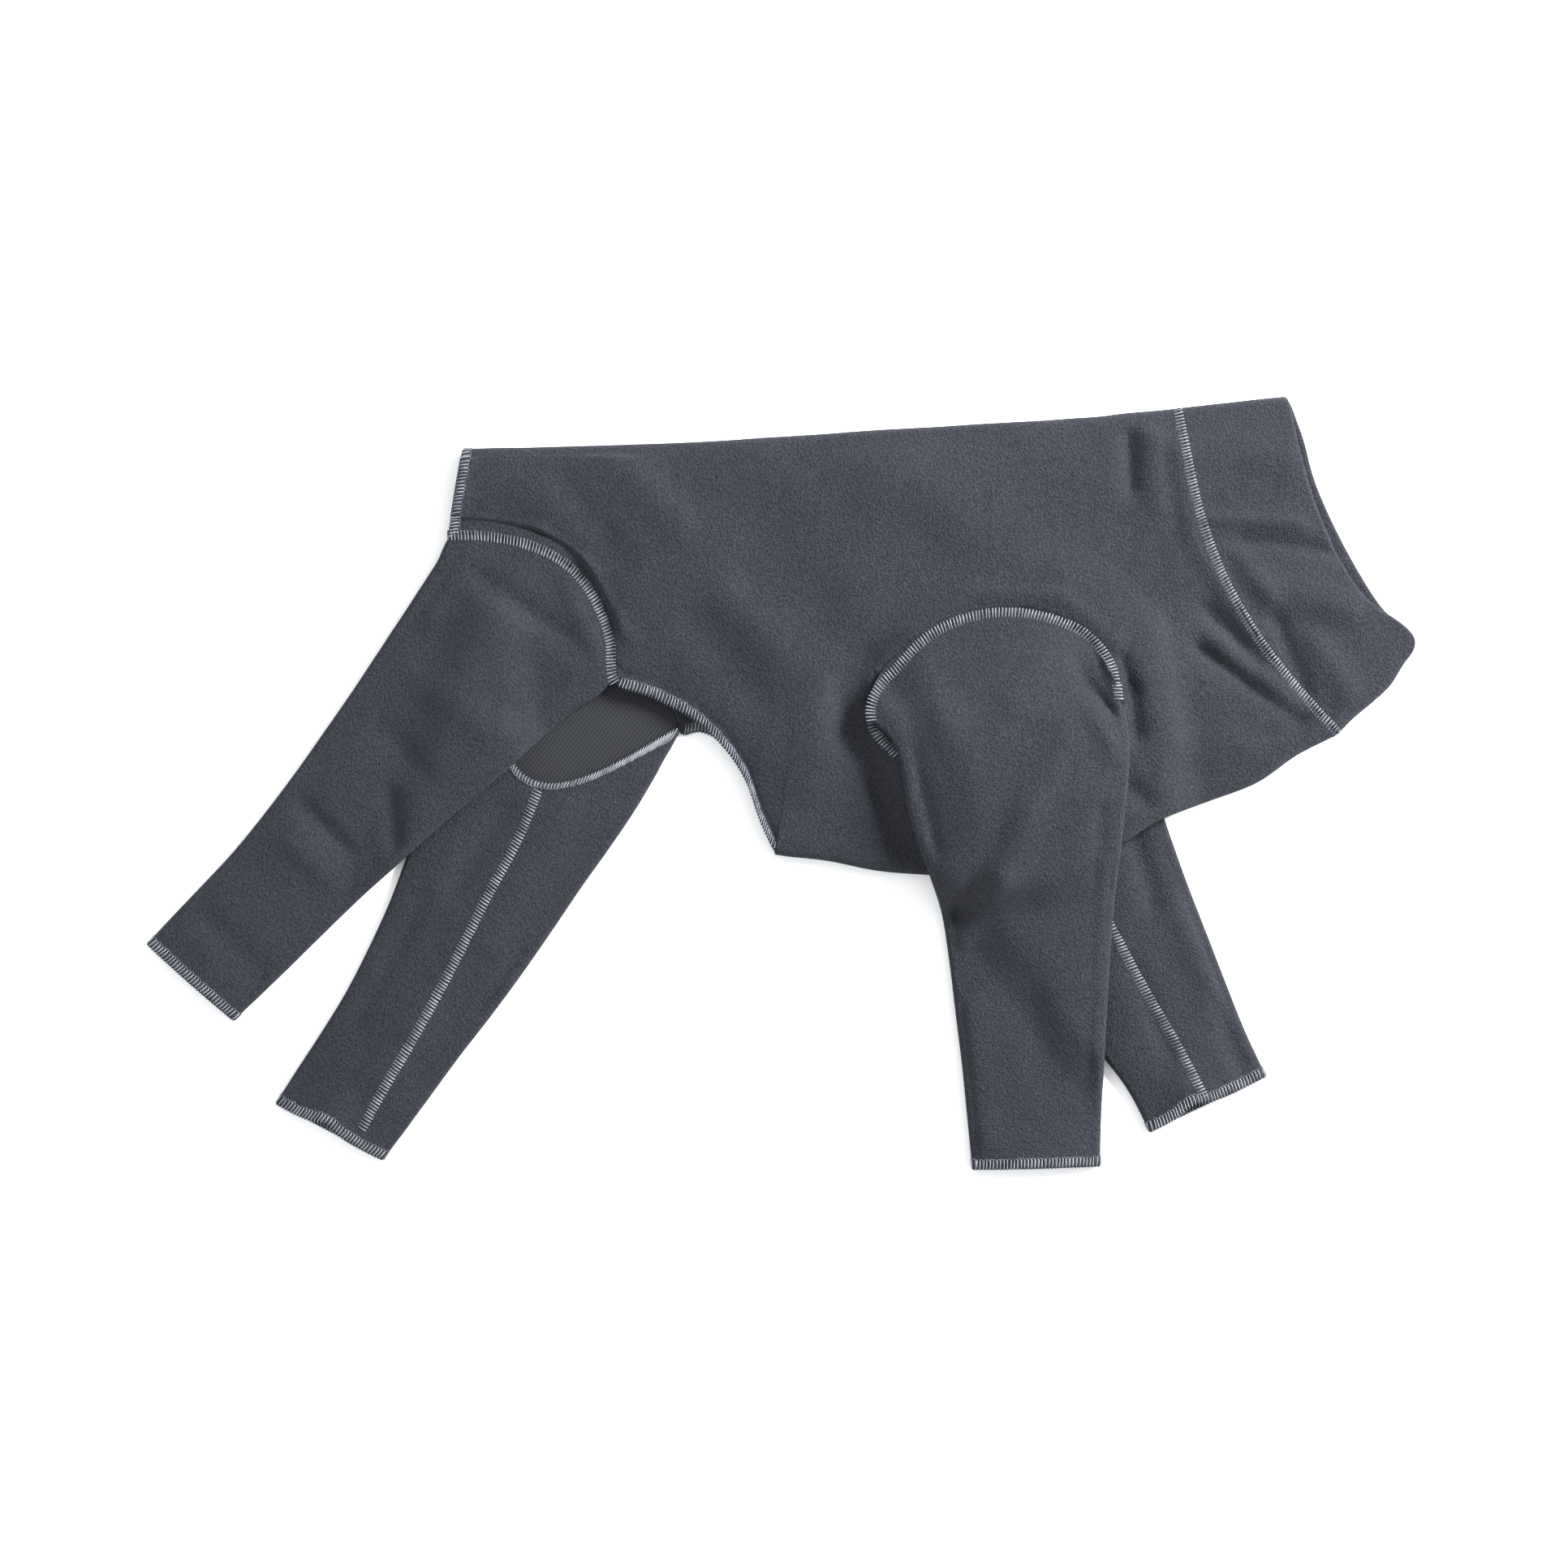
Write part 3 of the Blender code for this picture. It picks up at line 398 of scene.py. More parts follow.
def folds(points, rows, seed):
    """How far the folds of one table, and finer rolls between them, lift a wall."""
    lift = 0.0003 * waves(points, 0.045, seed) + 0.00016 * waves(points, 0.017, seed + 1)
    for u1, v1, u2, v2, half_width, height in rows:
        start = sheet_point(u1, v1)
        run = sheet_point(u2, v2) - start
        length = max(float(np.linalg.norm(run)), 1e-6)
        away = points[..., :2] - start
        along = (away @ run) / length
        past = np.clip(np.maximum(-along, along - length), 0, None)
        side = (away[..., 0] * run[1] - away[..., 1] * run[0]) / length
        spread = half_width * HALF_MM
        shape = np.exp(-((side / spread) ** 2) - (past / (1.2 * spread)) ** 2)
        lift += FOLD_GAIN * height * 0.001 * shape
    return lift


class Floor:
    def rest(self, points):
        return np.full(points.shape[:-1], WALL / 2)


class Drape(Floor):
    """The height of what lies under a wall, widened and smoothed as cloth bridges it."""

    def __init__(self, *surfaces):
        points = np.concatenate([surface[0] for surface in surfaces])
        self.low = points[:, :2].min(axis=0) - MAP_MARGIN
        size = points[:, :2].max(axis=0) + MAP_MARGIN - self.low
        counts = np.ceil(size / MAP_CELL).astype(int) + 1
        heights = np.zeros(counts)
        trees = [BVHTree.FromPolygons(surface[0].tolist(), surface[1]) for surface in surfaces]
        for i, j in np.ndindex(*counts):
            above = Vector((self.low[0] + i * MAP_CELL, self.low[1] + j * MAP_CELL, 1.0))
            for tree in trees:
                hit = tree.ray_cast(above, DOWN)[0]
                if hit is not None:
                    heights[i, j] = max(heights[i, j], hit.z + WALL / 2)
        widest = np.maximum.reduce(list(self.around(heights, DRAPE_REACH + MESH_REACH)))
        near = list(self.around(widest, DRAPE_REACH))
        self.heights = sum(near) / len(near)

    def around(self, heights, reach):
        steps = int(reach / MAP_CELL)
        padded = np.pad(heights, steps)
        for i, j in np.ndindex(2 * steps + 1, 2 * steps + 1):
            if math.hypot(i - steps, j - steps) * MAP_CELL <= reach:
                yield padded[i:i + heights.shape[0], j:j + heights.shape[1]]

    def rest(self, points):
        place = (points[..., :2] - self.low) / MAP_CELL
        place = np.clip(place, 0.0, np.array(self.heights.shape) - 1.001)
        i, j = np.floor(place).astype(int)[..., 0], np.floor(place).astype(int)[..., 1]
        u, v = place[..., 0] - i, place[..., 1] - j
        low = self.heights[i, j] * (1 - u) + self.heights[i + 1, j] * u
        high = self.heights[i, j + 1] * (1 - u) + self.heights[i + 1, j + 1] * u
        below = low * (1 - v) + high * v
        return WALL / 2 + below + REST_GAP * np.clip(below / REST_GAP, 0.0, 1.0)


def grid_faces(rows, columns, wrapped):
    cells = columns if wrapped else columns - 1
    i, j = np.meshgrid(np.arange(rows - 1), np.arange(cells), indexing="ij")
    k = (j + 1) % columns
    quads = np.stack(
        [i * columns + j, i * columns + k, (i + 1) * columns + k, (i + 1) * columns + j], axis=-1
    )
    return quads.reshape(-1, 4)


def grid_surface(grid, wrapped):
    return grid.reshape(-1, 3), grid_faces(grid.shape[0], grid.shape[1], wrapped).tolist()


def leg_rows(fades, widths, below):
    """The rows of a leg that lies over the torso or below it, in the order of LEG_COLUMNS."""
    return [
        (along, rear, front, *((under, over) if below else (over, under)), joined)
        for (along, over, under, joined), rear, front in zip(fades, *widths)
    ]


def torso_side(back, edge, bow, shut, inset):
    run = edge - back
    width = np.linalg.norm(run, axis=-1)[:, None]
    heading = run / width
    normal = np.stack([heading[:, 1], -heading[:, 0]], axis=-1)
    margin = TORSO_FOLD_RADIUS + WALL / 2
    bend = TORSO_FOLD_RADIUS - inset
    end = width - margin - TORSO_FOLD_RADIUS * (1 - shut)
    back_fold = margin - bend * np.sin(TURN[::-1]) + 0.0 * width
    across = (1 - np.cos(math.pi * np.linspace(0.0, 1.0, TORSO_CELLS + 1))) / 2
    across = EDGE_CROWDING * across + (1 - EDGE_CROWDING) * np.linspace(0.0, 1.0, TORSO_CELLS + 1)
    wall = margin + across * (end - margin)
    closed = end + bend * np.sin(TURN)
    lower = shut * closed + (1 - shut) * (end + (width - end) * TURN / TURN[-1])
    distance = np.concatenate([back_fold, wall, lower], axis=1)
    offset = bow[:, None] * TORSO_DEPTH * np.sin(math.pi * np.clip(distance / width, 0.0, 1.0))
    points = back[:, None] + heading[:, None] * distance[..., None]
    return points + normal[:, None] * offset[..., None], across


def torso_walls(back, near, far, near_bow, far_bow, shut, crown, base, inset=0.0):
    shut = shut[:, None]
    near_points, across = torso_side(back, near, near_bow, shut, inset)
    far_points, across = torso_side(back, far, far_bow, shut, inset)
    turn_up = np.cos(TURN[::-1]) + 0 * shut
    turn_down = shut * np.cos(TURN) + (1 - shut)
    puff = (4 * across * (1 - across)) ** 0.75
    soft = ramp(np.minimum(across, 1 - across) / 0.05)
    shape = np.concatenate([0 * TURN, puff, 0 * TURN])
    weight = np.concatenate([0 * TURN, soft, 0 * TURN]) + 0 * shut
    place = np.concatenate([0 * TURN, across, 1 + 0 * TURN])
    edge = np.concatenate([0 * TURN, 0 * across, 1 + 0 * TURN])
    flat_edge = edge + ramp((place - 0.8) / 0.2)
    bend = np.concatenate([turn_up, 1 + 0 * across + 0 * shut, turn_down], axis=1)
    rise = folds(near_points, TORSO_FOLDS, 5) * weight
    rise += 0.0006 * waves(near_points, 0.05, 9) * flat_edge * (1 - shut)
    full = crown[:, None] * shape + np.maximum(rise, -TORSO_DENT)
    turned = (TORSO_FOLD_RADIUS - inset) * bend
    near_height = base.rest(near_points) + TORSO_FOLD_RADIUS + turned + full
    far_height = base.rest(far_points) + TORSO_FOLD_RADIUS - turned
    near_grid = np.concatenate([near_points, near_height[..., None]], axis=-1)
    far_grid = np.concatenate([far_points, far_height[..., None]], axis=-1)
    fold = (near_grid[:, :1] + far_grid[:, :1]) / 2
    return np.concatenate([near_grid[:, :0:-1], fold, far_grid[:, 1:]], axis=1)


def leg_root(rear_end, front_end, rise, dip, heading):
    share = -np.cos(math.pi * np.linspace(0.0, 1.0, LEG_CELLS + 1))
    depth = np.sqrt(np.clip(1 - share ** 2, 0.0, 1.0))
    middle = (rear_end + front_end) / 2
    line = middle + (front_end - rear_end) / 2 * share[:, None]
    bow = (rise * depth * (1 + ARMHOLE_SKEW * share))[:, None]
    return line - heading * bow, line + heading * (dip * depth)[:, None]


def leg_walls(
    rows, ends, length, heading, over_root, under_root, root_ways, own_folds, base, seam=None,
):
    share_along = np.linspace(0.0, 1.0, LEG_ROWS) ** ROOT_CROWDING
    places = np.interp(share_along, [r[0] for r in rows], np.arange(len(rows)))
    row = fine(LEG_COLUMNS, rows, places)
    row["along"] = share_along
    for name in ("over", "under", "joined"):
        row[name] = np.clip(row[name], 0.0, 1.0)
    rear_end, front_end = ends
    middle = (rear_end + front_end) / 2
    half = np.linalg.norm(front_end - rear_end) / 2
    side = (front_end - rear_end) / (2 * half)
    margin = LEG_FOLD_RADIUS + WALL / 2
    share = -np.cos(math.pi * np.linspace(0.0, 1.0, LEG_CELLS + 1))
    reach = np.where(share < 0, row["rear"][:, None], row["front"][:, None]) * half - margin
    centre = middle + row["along"][:, None] * length * heading
    straight = centre[:, None] + (share * reach)[..., None] * side
    over = straight + row["over"][:, None, None] * (over_root - straight[0])
    under = straight + row["under"][:, None, None] * (under_root - straight[0])
    puff = 1 - share ** 2
    soft = ramp((1 - np.abs(share)) / 0.12)
    deepest = -LEG_DENT - LEG_MIDDLE_DENT * puff
    lift = np.maximum(folds(over, own_folds, len(own_folds)) * soft, deepest)
    full = LEG_CROWN * puff + lift
    over_height = base.rest(over) + 2 * LEG_FOLD_RADIUS + full
    if seam is not None:
        seam = np.where(np.isnan(seam), over_height[0], seam)
        over_height += row["joined"][:, None] * (seam - over_height[0])
    under_height = base.rest(under)
    over = np.concatenate([over, over_height[..., None]], axis=-1)
    under = np.concatenate([under, under_height[..., None]], axis=-1)
    turn = np.linspace(0.0, math.pi, FOLD_CELLS + 1)[1:-1]
    fade = ramp(np.linspace(0, LEG_ROWS / 12, LEG_ROWS))[:, None]

    def fold(start, end, root_way, own_way):
        way = root_way * (1 - fade) + own_way * fade
        way /= np.linalg.norm(way, axis=-1)[:, None]
        mixed = ((1 + np.cos(turn)) / 2)[:, None]
        points = start[:, None] * mixed + end[:, None] * (1 - mixed)
        points[..., :2] += (LEG_FOLD_RADIUS * np.sin(turn))[:, None] * way[:, None]
        return points

    front = fold(over[:, -1], under[:, -1], root_ways[1], side)
    rear = fold(under[:, 0], over[:, 0], root_ways[0], -side)
    return np.concatenate([over, front, under[:, ::-1], rear], axis=1)


def along_curve(curve, count):
    steps = np.linalg.norm(np.diff(curve, axis=0), axis=-1)
    travel = np.concatenate([[0.0], np.cumsum(steps)])
    wanted = np.linspace(0.0, travel[-1], count)
    return np.stack([np.interp(wanted, travel, curve[:, k]) for k in range(curve.shape[1])], axis=-1)


def hip_root(edge, heading):
    edge = edge[:, :2] + heading * SEAM_GAP
    dense = along_curve(edge, 401)
    length = np.linalg.norm(np.diff(dense, axis=0), axis=-1).sum()
    skip = max(1, round(400 * (LEG_FOLD_RADIUS + WALL / 2 + SEAM_GAP) / length))
    seam = along_curve(dense[skip:-skip], LEG_CELLS + 1)
    share = -np.cos(math.pi * np.linspace(0.0, 1.0, LEG_CELLS + 1))[:, None]
    line = seam[0] + (seam[-1] - seam[0]) * (1 + share) / 2
    inner = line + heading * CROTCH_DIP * (1 - share ** 2) ** 1.2
    ways = []
    for way in (seam[0] - seam[1], seam[-1] - seam[-2]):
        away = way / np.linalg.norm(way) + heading
        ways.append(away / np.linalg.norm(away))
    return (edge[0], edge[-1]), seam, inner, ways


def torso_grid(base):
    places = np.linspace(0.0, len(TORSO_ROWS) - 1.0, TORSO_STEPS * (len(TORSO_ROWS) - 1) + 1)
    row = fine(TORSO_COLUMNS, TORSO_ROWS, places)
    shut = ramp((places - CLOSING_ROW) / CLOSING_SPAN)
    near = plan(row["near_x"], row["near_y"])
    far = plan(row["far_x"], row["far_y"])
    middle = (near + far) / 2
    near += (middle - near) * shut[:, None]
    far += (middle - far) * shut[:, None]
    bow = np.clip(row["bow"], 0.0, 1.0)
    grid = torso_walls(
        plan(row["back_x"], row["back_y"]), near, far, bow, bow, shut, row["crown"] * TORSO_CROWN, base,
    )
    return grid, shut > 0.999


def rounded(line):
    """A line of points with its corners cut three times."""
    line = np.array(line, float)
    for _ in range(3):
        start, end = line[:-1], line[1:]
        cuts = np.stack([0.75 * start + 0.25 * end, 0.25 * start + 0.75 * end], axis=1)
        line = np.concatenate([line[:1], cuts.reshape(-1, 2)[1:-1], line[-1:]])
    return line


def seam_line(line):
    """A line of the square's points as a smooth line in plan."""
    return sheet_point(*rounded(line).T)


def drawn(front, line, height):
    """How far a row of points must move in plan to lie on a line of the square's points."""
    target = seam_line(line) - ORIGIN[:2]
    target = target * (CAMERA_HEIGHT - height) / CAMERA_HEIGHT + ORIGIN[:2]
    steps = np.linalg.norm(np.diff(front[:, :2], axis=0), axis=-1)
    share = np.concatenate([[0.0], np.cumsum(steps)]) / steps.sum()
    dense = along_curve(target, 801)
    places = np.linspace(0, 1, 801)
    wanted = np.stack([np.interp(share, places, dense[:, k]) for k in (0, 1)], axis=-1)
    return wanted - front[:, :2]


def collar_grid(base):
    places = np.linspace(0.0, len(COLLAR_ROWS) - 1.0, COLLAR_STEPS * (len(COLLAR_ROWS) - 1) + 1)
    row = fine(COLLAR_COLUMNS, COLLAR_ROWS, places)
    seam = table(TORSO_COLUMNS, TORSO_ROWS)
    shift = direction(NECK_HEADING) * SEAM_GAP
    back = plan(seam["back_x"][-1], seam["back_y"][-1]) + shift
    chest = plan(seam["near_x"][-1], seam["near_y"][-1]) + shift
    back = back + COLLAR_LENGTH * np.stack([row["back_x"], row["back_y"]], axis=-1)
    chest = chest + COLLAR_LENGTH * np.stack([row["chest_x"], row["chest_y"]], axis=-1)
    ply = WALL + PLY_GAP
    outer, inner = (
        torso_walls(
            back, chest, chest, row["near_bow"], row["far_bow"], np.ones(len(back)),
            row["crown"] * COLLAR_CROWN, base, inset,
        )[:, :-1]
        for inset in (0.0, ply)
    )
    half = outer.shape[1] // 2
    near_move = drawn(outer[-1, :half + 1], COLLAR_NEAR_FRONT, COLLAR_NEAR_HEIGHT)
    far_move = drawn(outer[-1, half:], COLLAR_FAR_FRONT, COLLAR_FAR_HEIGHT)
    move = np.concatenate([near_move[:-1], (near_move[-1:] + far_move[:1]) / 2, far_move[1:]])
    weight = np.linspace(0.0, 1.0, len(outer)) ** 1.6
    for sheet in (outer, inner):
        sheet[..., :2] += weight[:, None, None] * move
    between = (inner[-1] - outer[-1]) / ply
    forward = outer[-1] - outer[-3]
    forward -= np.sum(forward * between, axis=-1)[:, None] * between
    forward /= np.linalg.norm(forward, axis=-1)[:, None]
    turns = []
    for turn in np.linspace(0.0, math.pi, FOLD_CELLS + 1)[1:-1]:
        mixed = (1 + math.cos(turn)) / 2
        turns.append(outer[-1] * mixed + inner[-1] * (1 - mixed) + forward * math.sin(turn) * ply / 2)
    return np.concatenate([outer, np.array(turns), inner[::-1]])


def sleeve(rows, middle, tilt, length, angle, below, own_folds, base, torso=None):
    half = direction(tilt) * ARMHOLE_WIDTH / 2
    ends = (plan(*middle) - half, plan(*middle) + half)
    heading = direction(angle)
    away, towards = leg_root(*ends, ARMHOLE_RISE, ARMHOLE_DIP, heading)
    rim = np.concatenate([away, towards[-2:0:-1]])
    centre = rim.mean(axis=0)
    reach = np.linalg.norm(rim - centre, axis=-1)[:, None]
    hole = centre + (rim - centre) * (1 + SEAM_GAP / reach)
    side = half / np.linalg.norm(half)
    ways = [-side, side]
    if not below:
        ways = [(heading - side) / math.sqrt(2), (heading + side) / math.sqrt(2)]
    over, under = (towards, away) if below else (away, towards)
    seam = None
    if torso is not None:
        tree = BVHTree.FromPolygons(torso[0].tolist(), torso[1])
        seam = np.array([tree.ray_cast(Vector((*point, 1.0)), DOWN)[0].z for point in over])
        share = np.cos(math.pi * np.linspace(0.0, 1.0, LEG_CELLS + 1))
        turned = 2 * LEG_FOLD_RADIUS + WALL + REST_GAP
        seam += turned * ramp((np.abs(share) - 0.86) / 0.14)
    return leg_walls(rows, ends, length, heading, over, under, ways, own_folds, base, seam), hole


def inside(points, polygon):
    """Which plan points lie inside a polygon."""
    result = np.zeros(len(points), bool)
    for a, b in zip(polygon, np.roll(polygon, -1, axis=0)):
        spans = (a[1] > points[:, 1]) != (b[1] > points[:, 1])
        cross = (b[0] - a[0]) * (points[:, 1] - a[1]) / (b[1] - a[1] + 1e-12) + a[0]
        result ^= spans & (points[:, 0] < cross)
    return result


def nearest_on(points, polygon):
    best = np.full(len(points), 1e9)
    place = points.copy()
    for a, b in zip(polygon, np.roll(polygon, -1, axis=0)):
        run = b - a
        share = np.clip(((points - a) @ run) / (run @ run), 0.0, 1.0)
        near = a + share[:, None] * run
        away = np.linalg.norm(points - near, axis=-1)
        closer = away < best
        best[closer] = away[closer]
        place[closer] = near[closer]
    return place


def torso_mesh(grid, closed, near_hole, far_hole):
    rows, columns = grid.shape[:2]
    points = grid.reshape(-1, 3).copy()
    faces = grid_faces(rows, columns, False)
    column = faces[:, 0] % columns
    for row in np.nonzero(closed)[0]:
        faces[faces == row * columns + columns - 1] = row * columns
    centres = points[faces][:, :, :2].mean(axis=1)
    near_gone = inside(centres, near_hole) & (column < columns // 2)
    far_gone = inside(centres, far_hole) & (column >= columns // 2)
    for gone, hole in ((near_gone, near_hole), (far_gone, far_hole)):
        rim = np.intersect1d(faces[gone].ravel(), faces[~gone].ravel())
        points[rim, :2] = nearest_on(points[rim, :2], hole)
    return points, faces[~(near_gone | far_gone)].tolist()


def link_object(name, points, faces, materials, first=None):
    mesh = bpy.data.meshes.new(name)
    mesh.from_pydata((np.asarray(points) - ORIGIN).tolist(), [], [face[::-1] for face in faces])
    mesh.shade_smooth()
    item = bpy.data.objects.new(name, mesh)
    bpy.context.scene.collection.objects.link(item)
    for material in materials:
        mesh.materials.append(material)
    if first is not None:
        indices = (np.arange(len(faces)) >= first).astype(np.int32)
        mesh.polygons.foreach_set("material_index", indices)
    return item


def cloth(name, surface, materials):
    item = link_object(name + "_cloth", *surface, materials)
    solid = item.modifiers.new("Wall", "SOLIDIFY")
    solid.thickness = WALL
    solid.offset = 0.0
    solid.use_even_offset = False
    solid.material_offset = 1
    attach(item, "root")
    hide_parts(name)
    return item


def solid_tree(*items):
    """Everything that light meets on these pieces, in the part's own plan."""
    graph = bpy.context.evaluated_depsgraph_get()
    points, faces = [], []
    for item in items:
        mesh = item.evaluated_get(graph).to_mesh()
        places = np.empty(len(mesh.vertices) * 3)
        mesh.vertices.foreach_get("co", places)
        start = len(points)
        points += (places.reshape(-1, 3) + ORIGIN).tolist()
        faces += [[start + k for k in face.vertices] for face in mesh.polygons]
    return BVHTree.FromPolygons(points, faces)


def tubes(paths, radius, sides=5):
    """Points and faces of a thread along each path. All paths have as many points."""
    paths = np.array(paths)
    count, steps = paths.shape[:2]
    tangent = np.gradient(paths, axis=1)
    tangent /= np.linalg.norm(tangent, axis=-1, keepdims=True) + 1e-12
    across = np.cross(tangent, np.array([0.0, 0.0, 1.0]))
    size = np.linalg.norm(across, axis=-1, keepdims=True)
    across = np.where(size > 0.05, across / np.maximum(size, 1e-9), np.array([1.0, 0.0, 0.0]))
    upward = np.cross(across, tangent)
    angle = 2 * math.pi * np.arange(sides) / sides
    ring = across[..., None, :] * np.cos(angle)[:, None]
    ring = ring + upward[..., None, :] * np.sin(angle)[:, None]
    taper = np.ones(steps)
    taper[[0, -1]] = 0.55
    points = paths[:, :, None] + radius * taper[:, None, None] * ring
    t, i, j = np.meshgrid(np.arange(count), np.arange(steps - 1), np.arange(sides), indexing="ij")
    k = (j + 1) % sides
    first = t * steps * sides + i * sides
    quads = np.stack([first + j, first + k, first + sides + k, first + sides + j], axis=-1)
    ends = []
    for number in range(count):
        start = number * steps * sides
        ends.append(list(range(start + sides - 1, start - 1, -1)))
        ends.append(list(range(start + (steps - 1) * sides, start + steps * sides)))
    return points.reshape(-1, 3), quads.reshape(-1, 4).tolist() + ends


def join(parts):
    points, faces, start = [], [], 0
    for places, polygons in parts:
        points.append(places)
        faces += [[start + k for k in face] for face in polygons]
        start += len(places)
    return np.concatenate(points), faces


def top_height(tree, place, near):
    hit = tree.ray_cast(Vector((place[0], place[1], 1.0)), DOWN)[0]
    if hit is None or abs(hit.z - near) > STITCH_STEP:
        return near
    return hit.z


def flatlock(tree, curve, seed, bright=1.0):
    """Covering stitches across a seam that faces up: bars in the pile, dimmed with a darker copy of the
    thread as painted shade of the pile, and loops over them in the thread's own colour on the side
    that bright picks."""
    chance = np.random.RandomState(seed)
    width, pitch = BAND, STITCH_PITCH
    length = np.linalg.norm(np.diff(curve, axis=0), axis=-1).sum()
    line = along_curve(curve, max(3, int(length / pitch)))
    tangent = np.gradient(line, axis=0)
    tangent /= np.linalg.norm(tangent, axis=-1, keepdims=True)
    normal = np.stack([-tangent[:, 1], tangent[:, 0]], axis=-1) * bright
    bar = ((-1.0, -0.2), (-0.7, 0.4), (0.0, 0.6), (0.7, 0.4), (1.0, -0.2))
    loop = ((-0.35, 0.9), (0.1, 1.3), (0.55, 1.4), (0.88, 1.2), (1.0, 0.4))
    bars, loops = [], []
    for place, way, side in zip(line, tangent, normal):
        hit = tree.ray_cast(Vector((place[0], place[1], 1.0)), DOWN)[0]
        middle = hit.z if hit is not None else 0.01
        slip = chance.uniform(-0.08, 0.08)
        stretch = chance.uniform(0.93, 1.05)
        slant = chance.uniform(0.05, 0.2)
        for shape, paths, ahead in ((bar, bars, 0.0), (loop, loops, 0.12)):
            path = []
            for s, lift in shape:
                spot = place + side * (s * stretch * width / 2)
                spot = spot + way * pitch * (ahead + slip + slant * s)
                path.append((*spot, top_height(tree, spot, middle) + THREAD * lift))
            paths.append(path)
    # The bars take the darker thread as painted shade of the pile, and the loops take the thread's own
    # colour.
    return [tubes(bars, THREAD * 1.5, 4)], [tubes(loops, THREAD * 1.0)]


def overlock(grid, wrapped, probe, seed):
    """Stitches over the edge that is the first row of a grid whose rows run inwards from it."""
    chance = np.random.RandomState(seed)
    band, pitch = BAND, OVERLOCK_PITCH
    strip = grid[:10]
    if wrapped:
        strip = np.concatenate([strip, strip[:, :1]], axis=1)
    run = np.gradient(strip, axis=1)
    inward = np.gradient(strip, axis=0)
    normal = np.cross(run, inward)
    normal /= np.linalg.norm(normal, axis=-1, keepdims=True) + 1e-12
    if normal[0, probe, 2] < 0:
        normal = -normal
    depth, travel = (
        np.concatenate([[0.0], np.cumsum(np.linalg.norm(np.diff(line, axis=0), axis=-1))])
        for line in (strip[:, probe], strip[0])
    )
    count = int(travel[-1] / pitch)
    out = strip[0] - strip[1]
    out /= np.linalg.norm(out, axis=-1, keepdims=True)

    def spot(distance, place, lift):
        column = np.interp(min(max(place, 0.0), travel[-1]), travel, np.arange(len(travel)))
        row = np.interp(distance, depth, np.arange(len(depth)))
        r, c = min(int(row), len(strip) - 2), min(int(column), strip.shape[1] - 2)
        u, v = row - r, column - c
        near = strip[r, c] * (1 - v) + strip[r, c + 1] * v
        next_row = strip[r + 1, c] * (1 - v) + strip[r + 1, c + 1] * v
        way = normal[r, c] * (1 - v) + normal[r, c + 1] * v
        return near * (1 - u) + next_row * u + way * lift

    bars, links = [], []
    half = WALL / 2 + THREAD
    for k in range(count):
        place = (k + 0.5) * travel[-1] / count + chance.uniform(-0.06, 0.06) * pitch
        lean = chance.uniform(0.25, 0.5) * pitch
        width = band * chance.uniform(0.93, 1.05)
        column = min(int(np.interp(place, travel, np.arange(len(travel)))), len(out) - 1)
        bars.append([
            spot(width, place + lean, half * 0.85), spot(width * 0.8, place + lean * 0.9, half * 1.1),
            spot(width * 0.4, place + lean * 0.5, half * 1.12), spot(0.0008, place, half * 1.1),
            spot(0.0, place, 0.0) + out[column] * THREAD * 1.6, spot(0.0008, place, -half),
            spot(0.0025, place - 0.3 * pitch, -half),
        ])
        links.append([
            spot(width * 0.98, place + lean - 0.1 * pitch, half),
            spot(width * 1.04, place + lean + 0.3 * pitch, half * 1.15),
            spot(width * 0.98, place + lean + 0.7 * pitch, half),
            spot(width * 0.7, place + lean + 0.75 * pitch, half),
            spot(0.0008, place + 0.5 * pitch, half),
        ])
    # The links take the darker thread as painted shade of the pile, and the bars take the thread's own
    # colour.
    return [tubes(links, THREAD * 0.8, 4)], [tubes(bars, THREAD * 1.15)]


def curl(grid, middle, half_width, back, lift, heading):
    """Rolls part of a leg's upper hem back and up."""
    share = -np.cos(math.pi * np.linspace(0.0, 1.0, LEG_CELLS + 1))
    reach = np.exp(-(((share - middle) / half_width) ** 2)) * ramp((1 - np.abs(share)) / 0.3)
    for k in range(16):
        fade = ramp(1 - k / 15)
        row = len(grid) - 1 - k
        grid[row, :LEG_CELLS + 1, :2] -= heading * (back * fade * reach)[:, None]
        grid[row, :LEG_CELLS + 1, 2] += lift * fade ** 1.5 * reach


def shader_of(name, roughness, sheen):
    material = bpy.data.materials.new(name)
    material.use_nodes = True
    shader = material.node_tree.nodes["Principled BSDF"]
    shader.inputs["Roughness"].default_value = roughness
    shader.inputs["Specular IOR Level"].default_value = 0.06
    shader.inputs["Sheen Weight"].default_value = sheen
    shader.inputs["Sheen Roughness"].default_value = 0.45
    shader.inputs["Sheen Tint"].default_value = SHEEN_TINT
    return material, shader


def ramp_node(tree, source, low, high, dark, light):
    colours = tree.nodes.new("ShaderNodeValToRGB")
    colours.color_ramp.elements[0].position = low
    colours.color_ramp.elements[1].position = high
    colours.color_ramp.elements[0].color = (*dark, 1.0)
    colours.color_ramp.elements[1].color = (*light, 1.0)
    tree.links.new(source, colours.inputs["Fac"])
    return colours.outputs["Color"]


def noise_node(tree, place, scale, detail):
    noise = tree.nodes.new("ShaderNodeTexNoise")
    noise.inputs["Scale"].default_value = scale
    noise.inputs["Detail"].default_value = detail
    noise.inputs["Roughness"].default_value = 0.5
    tree.links.new(place, noise.inputs["Vector"])
    return noise.outputs["Fac"]


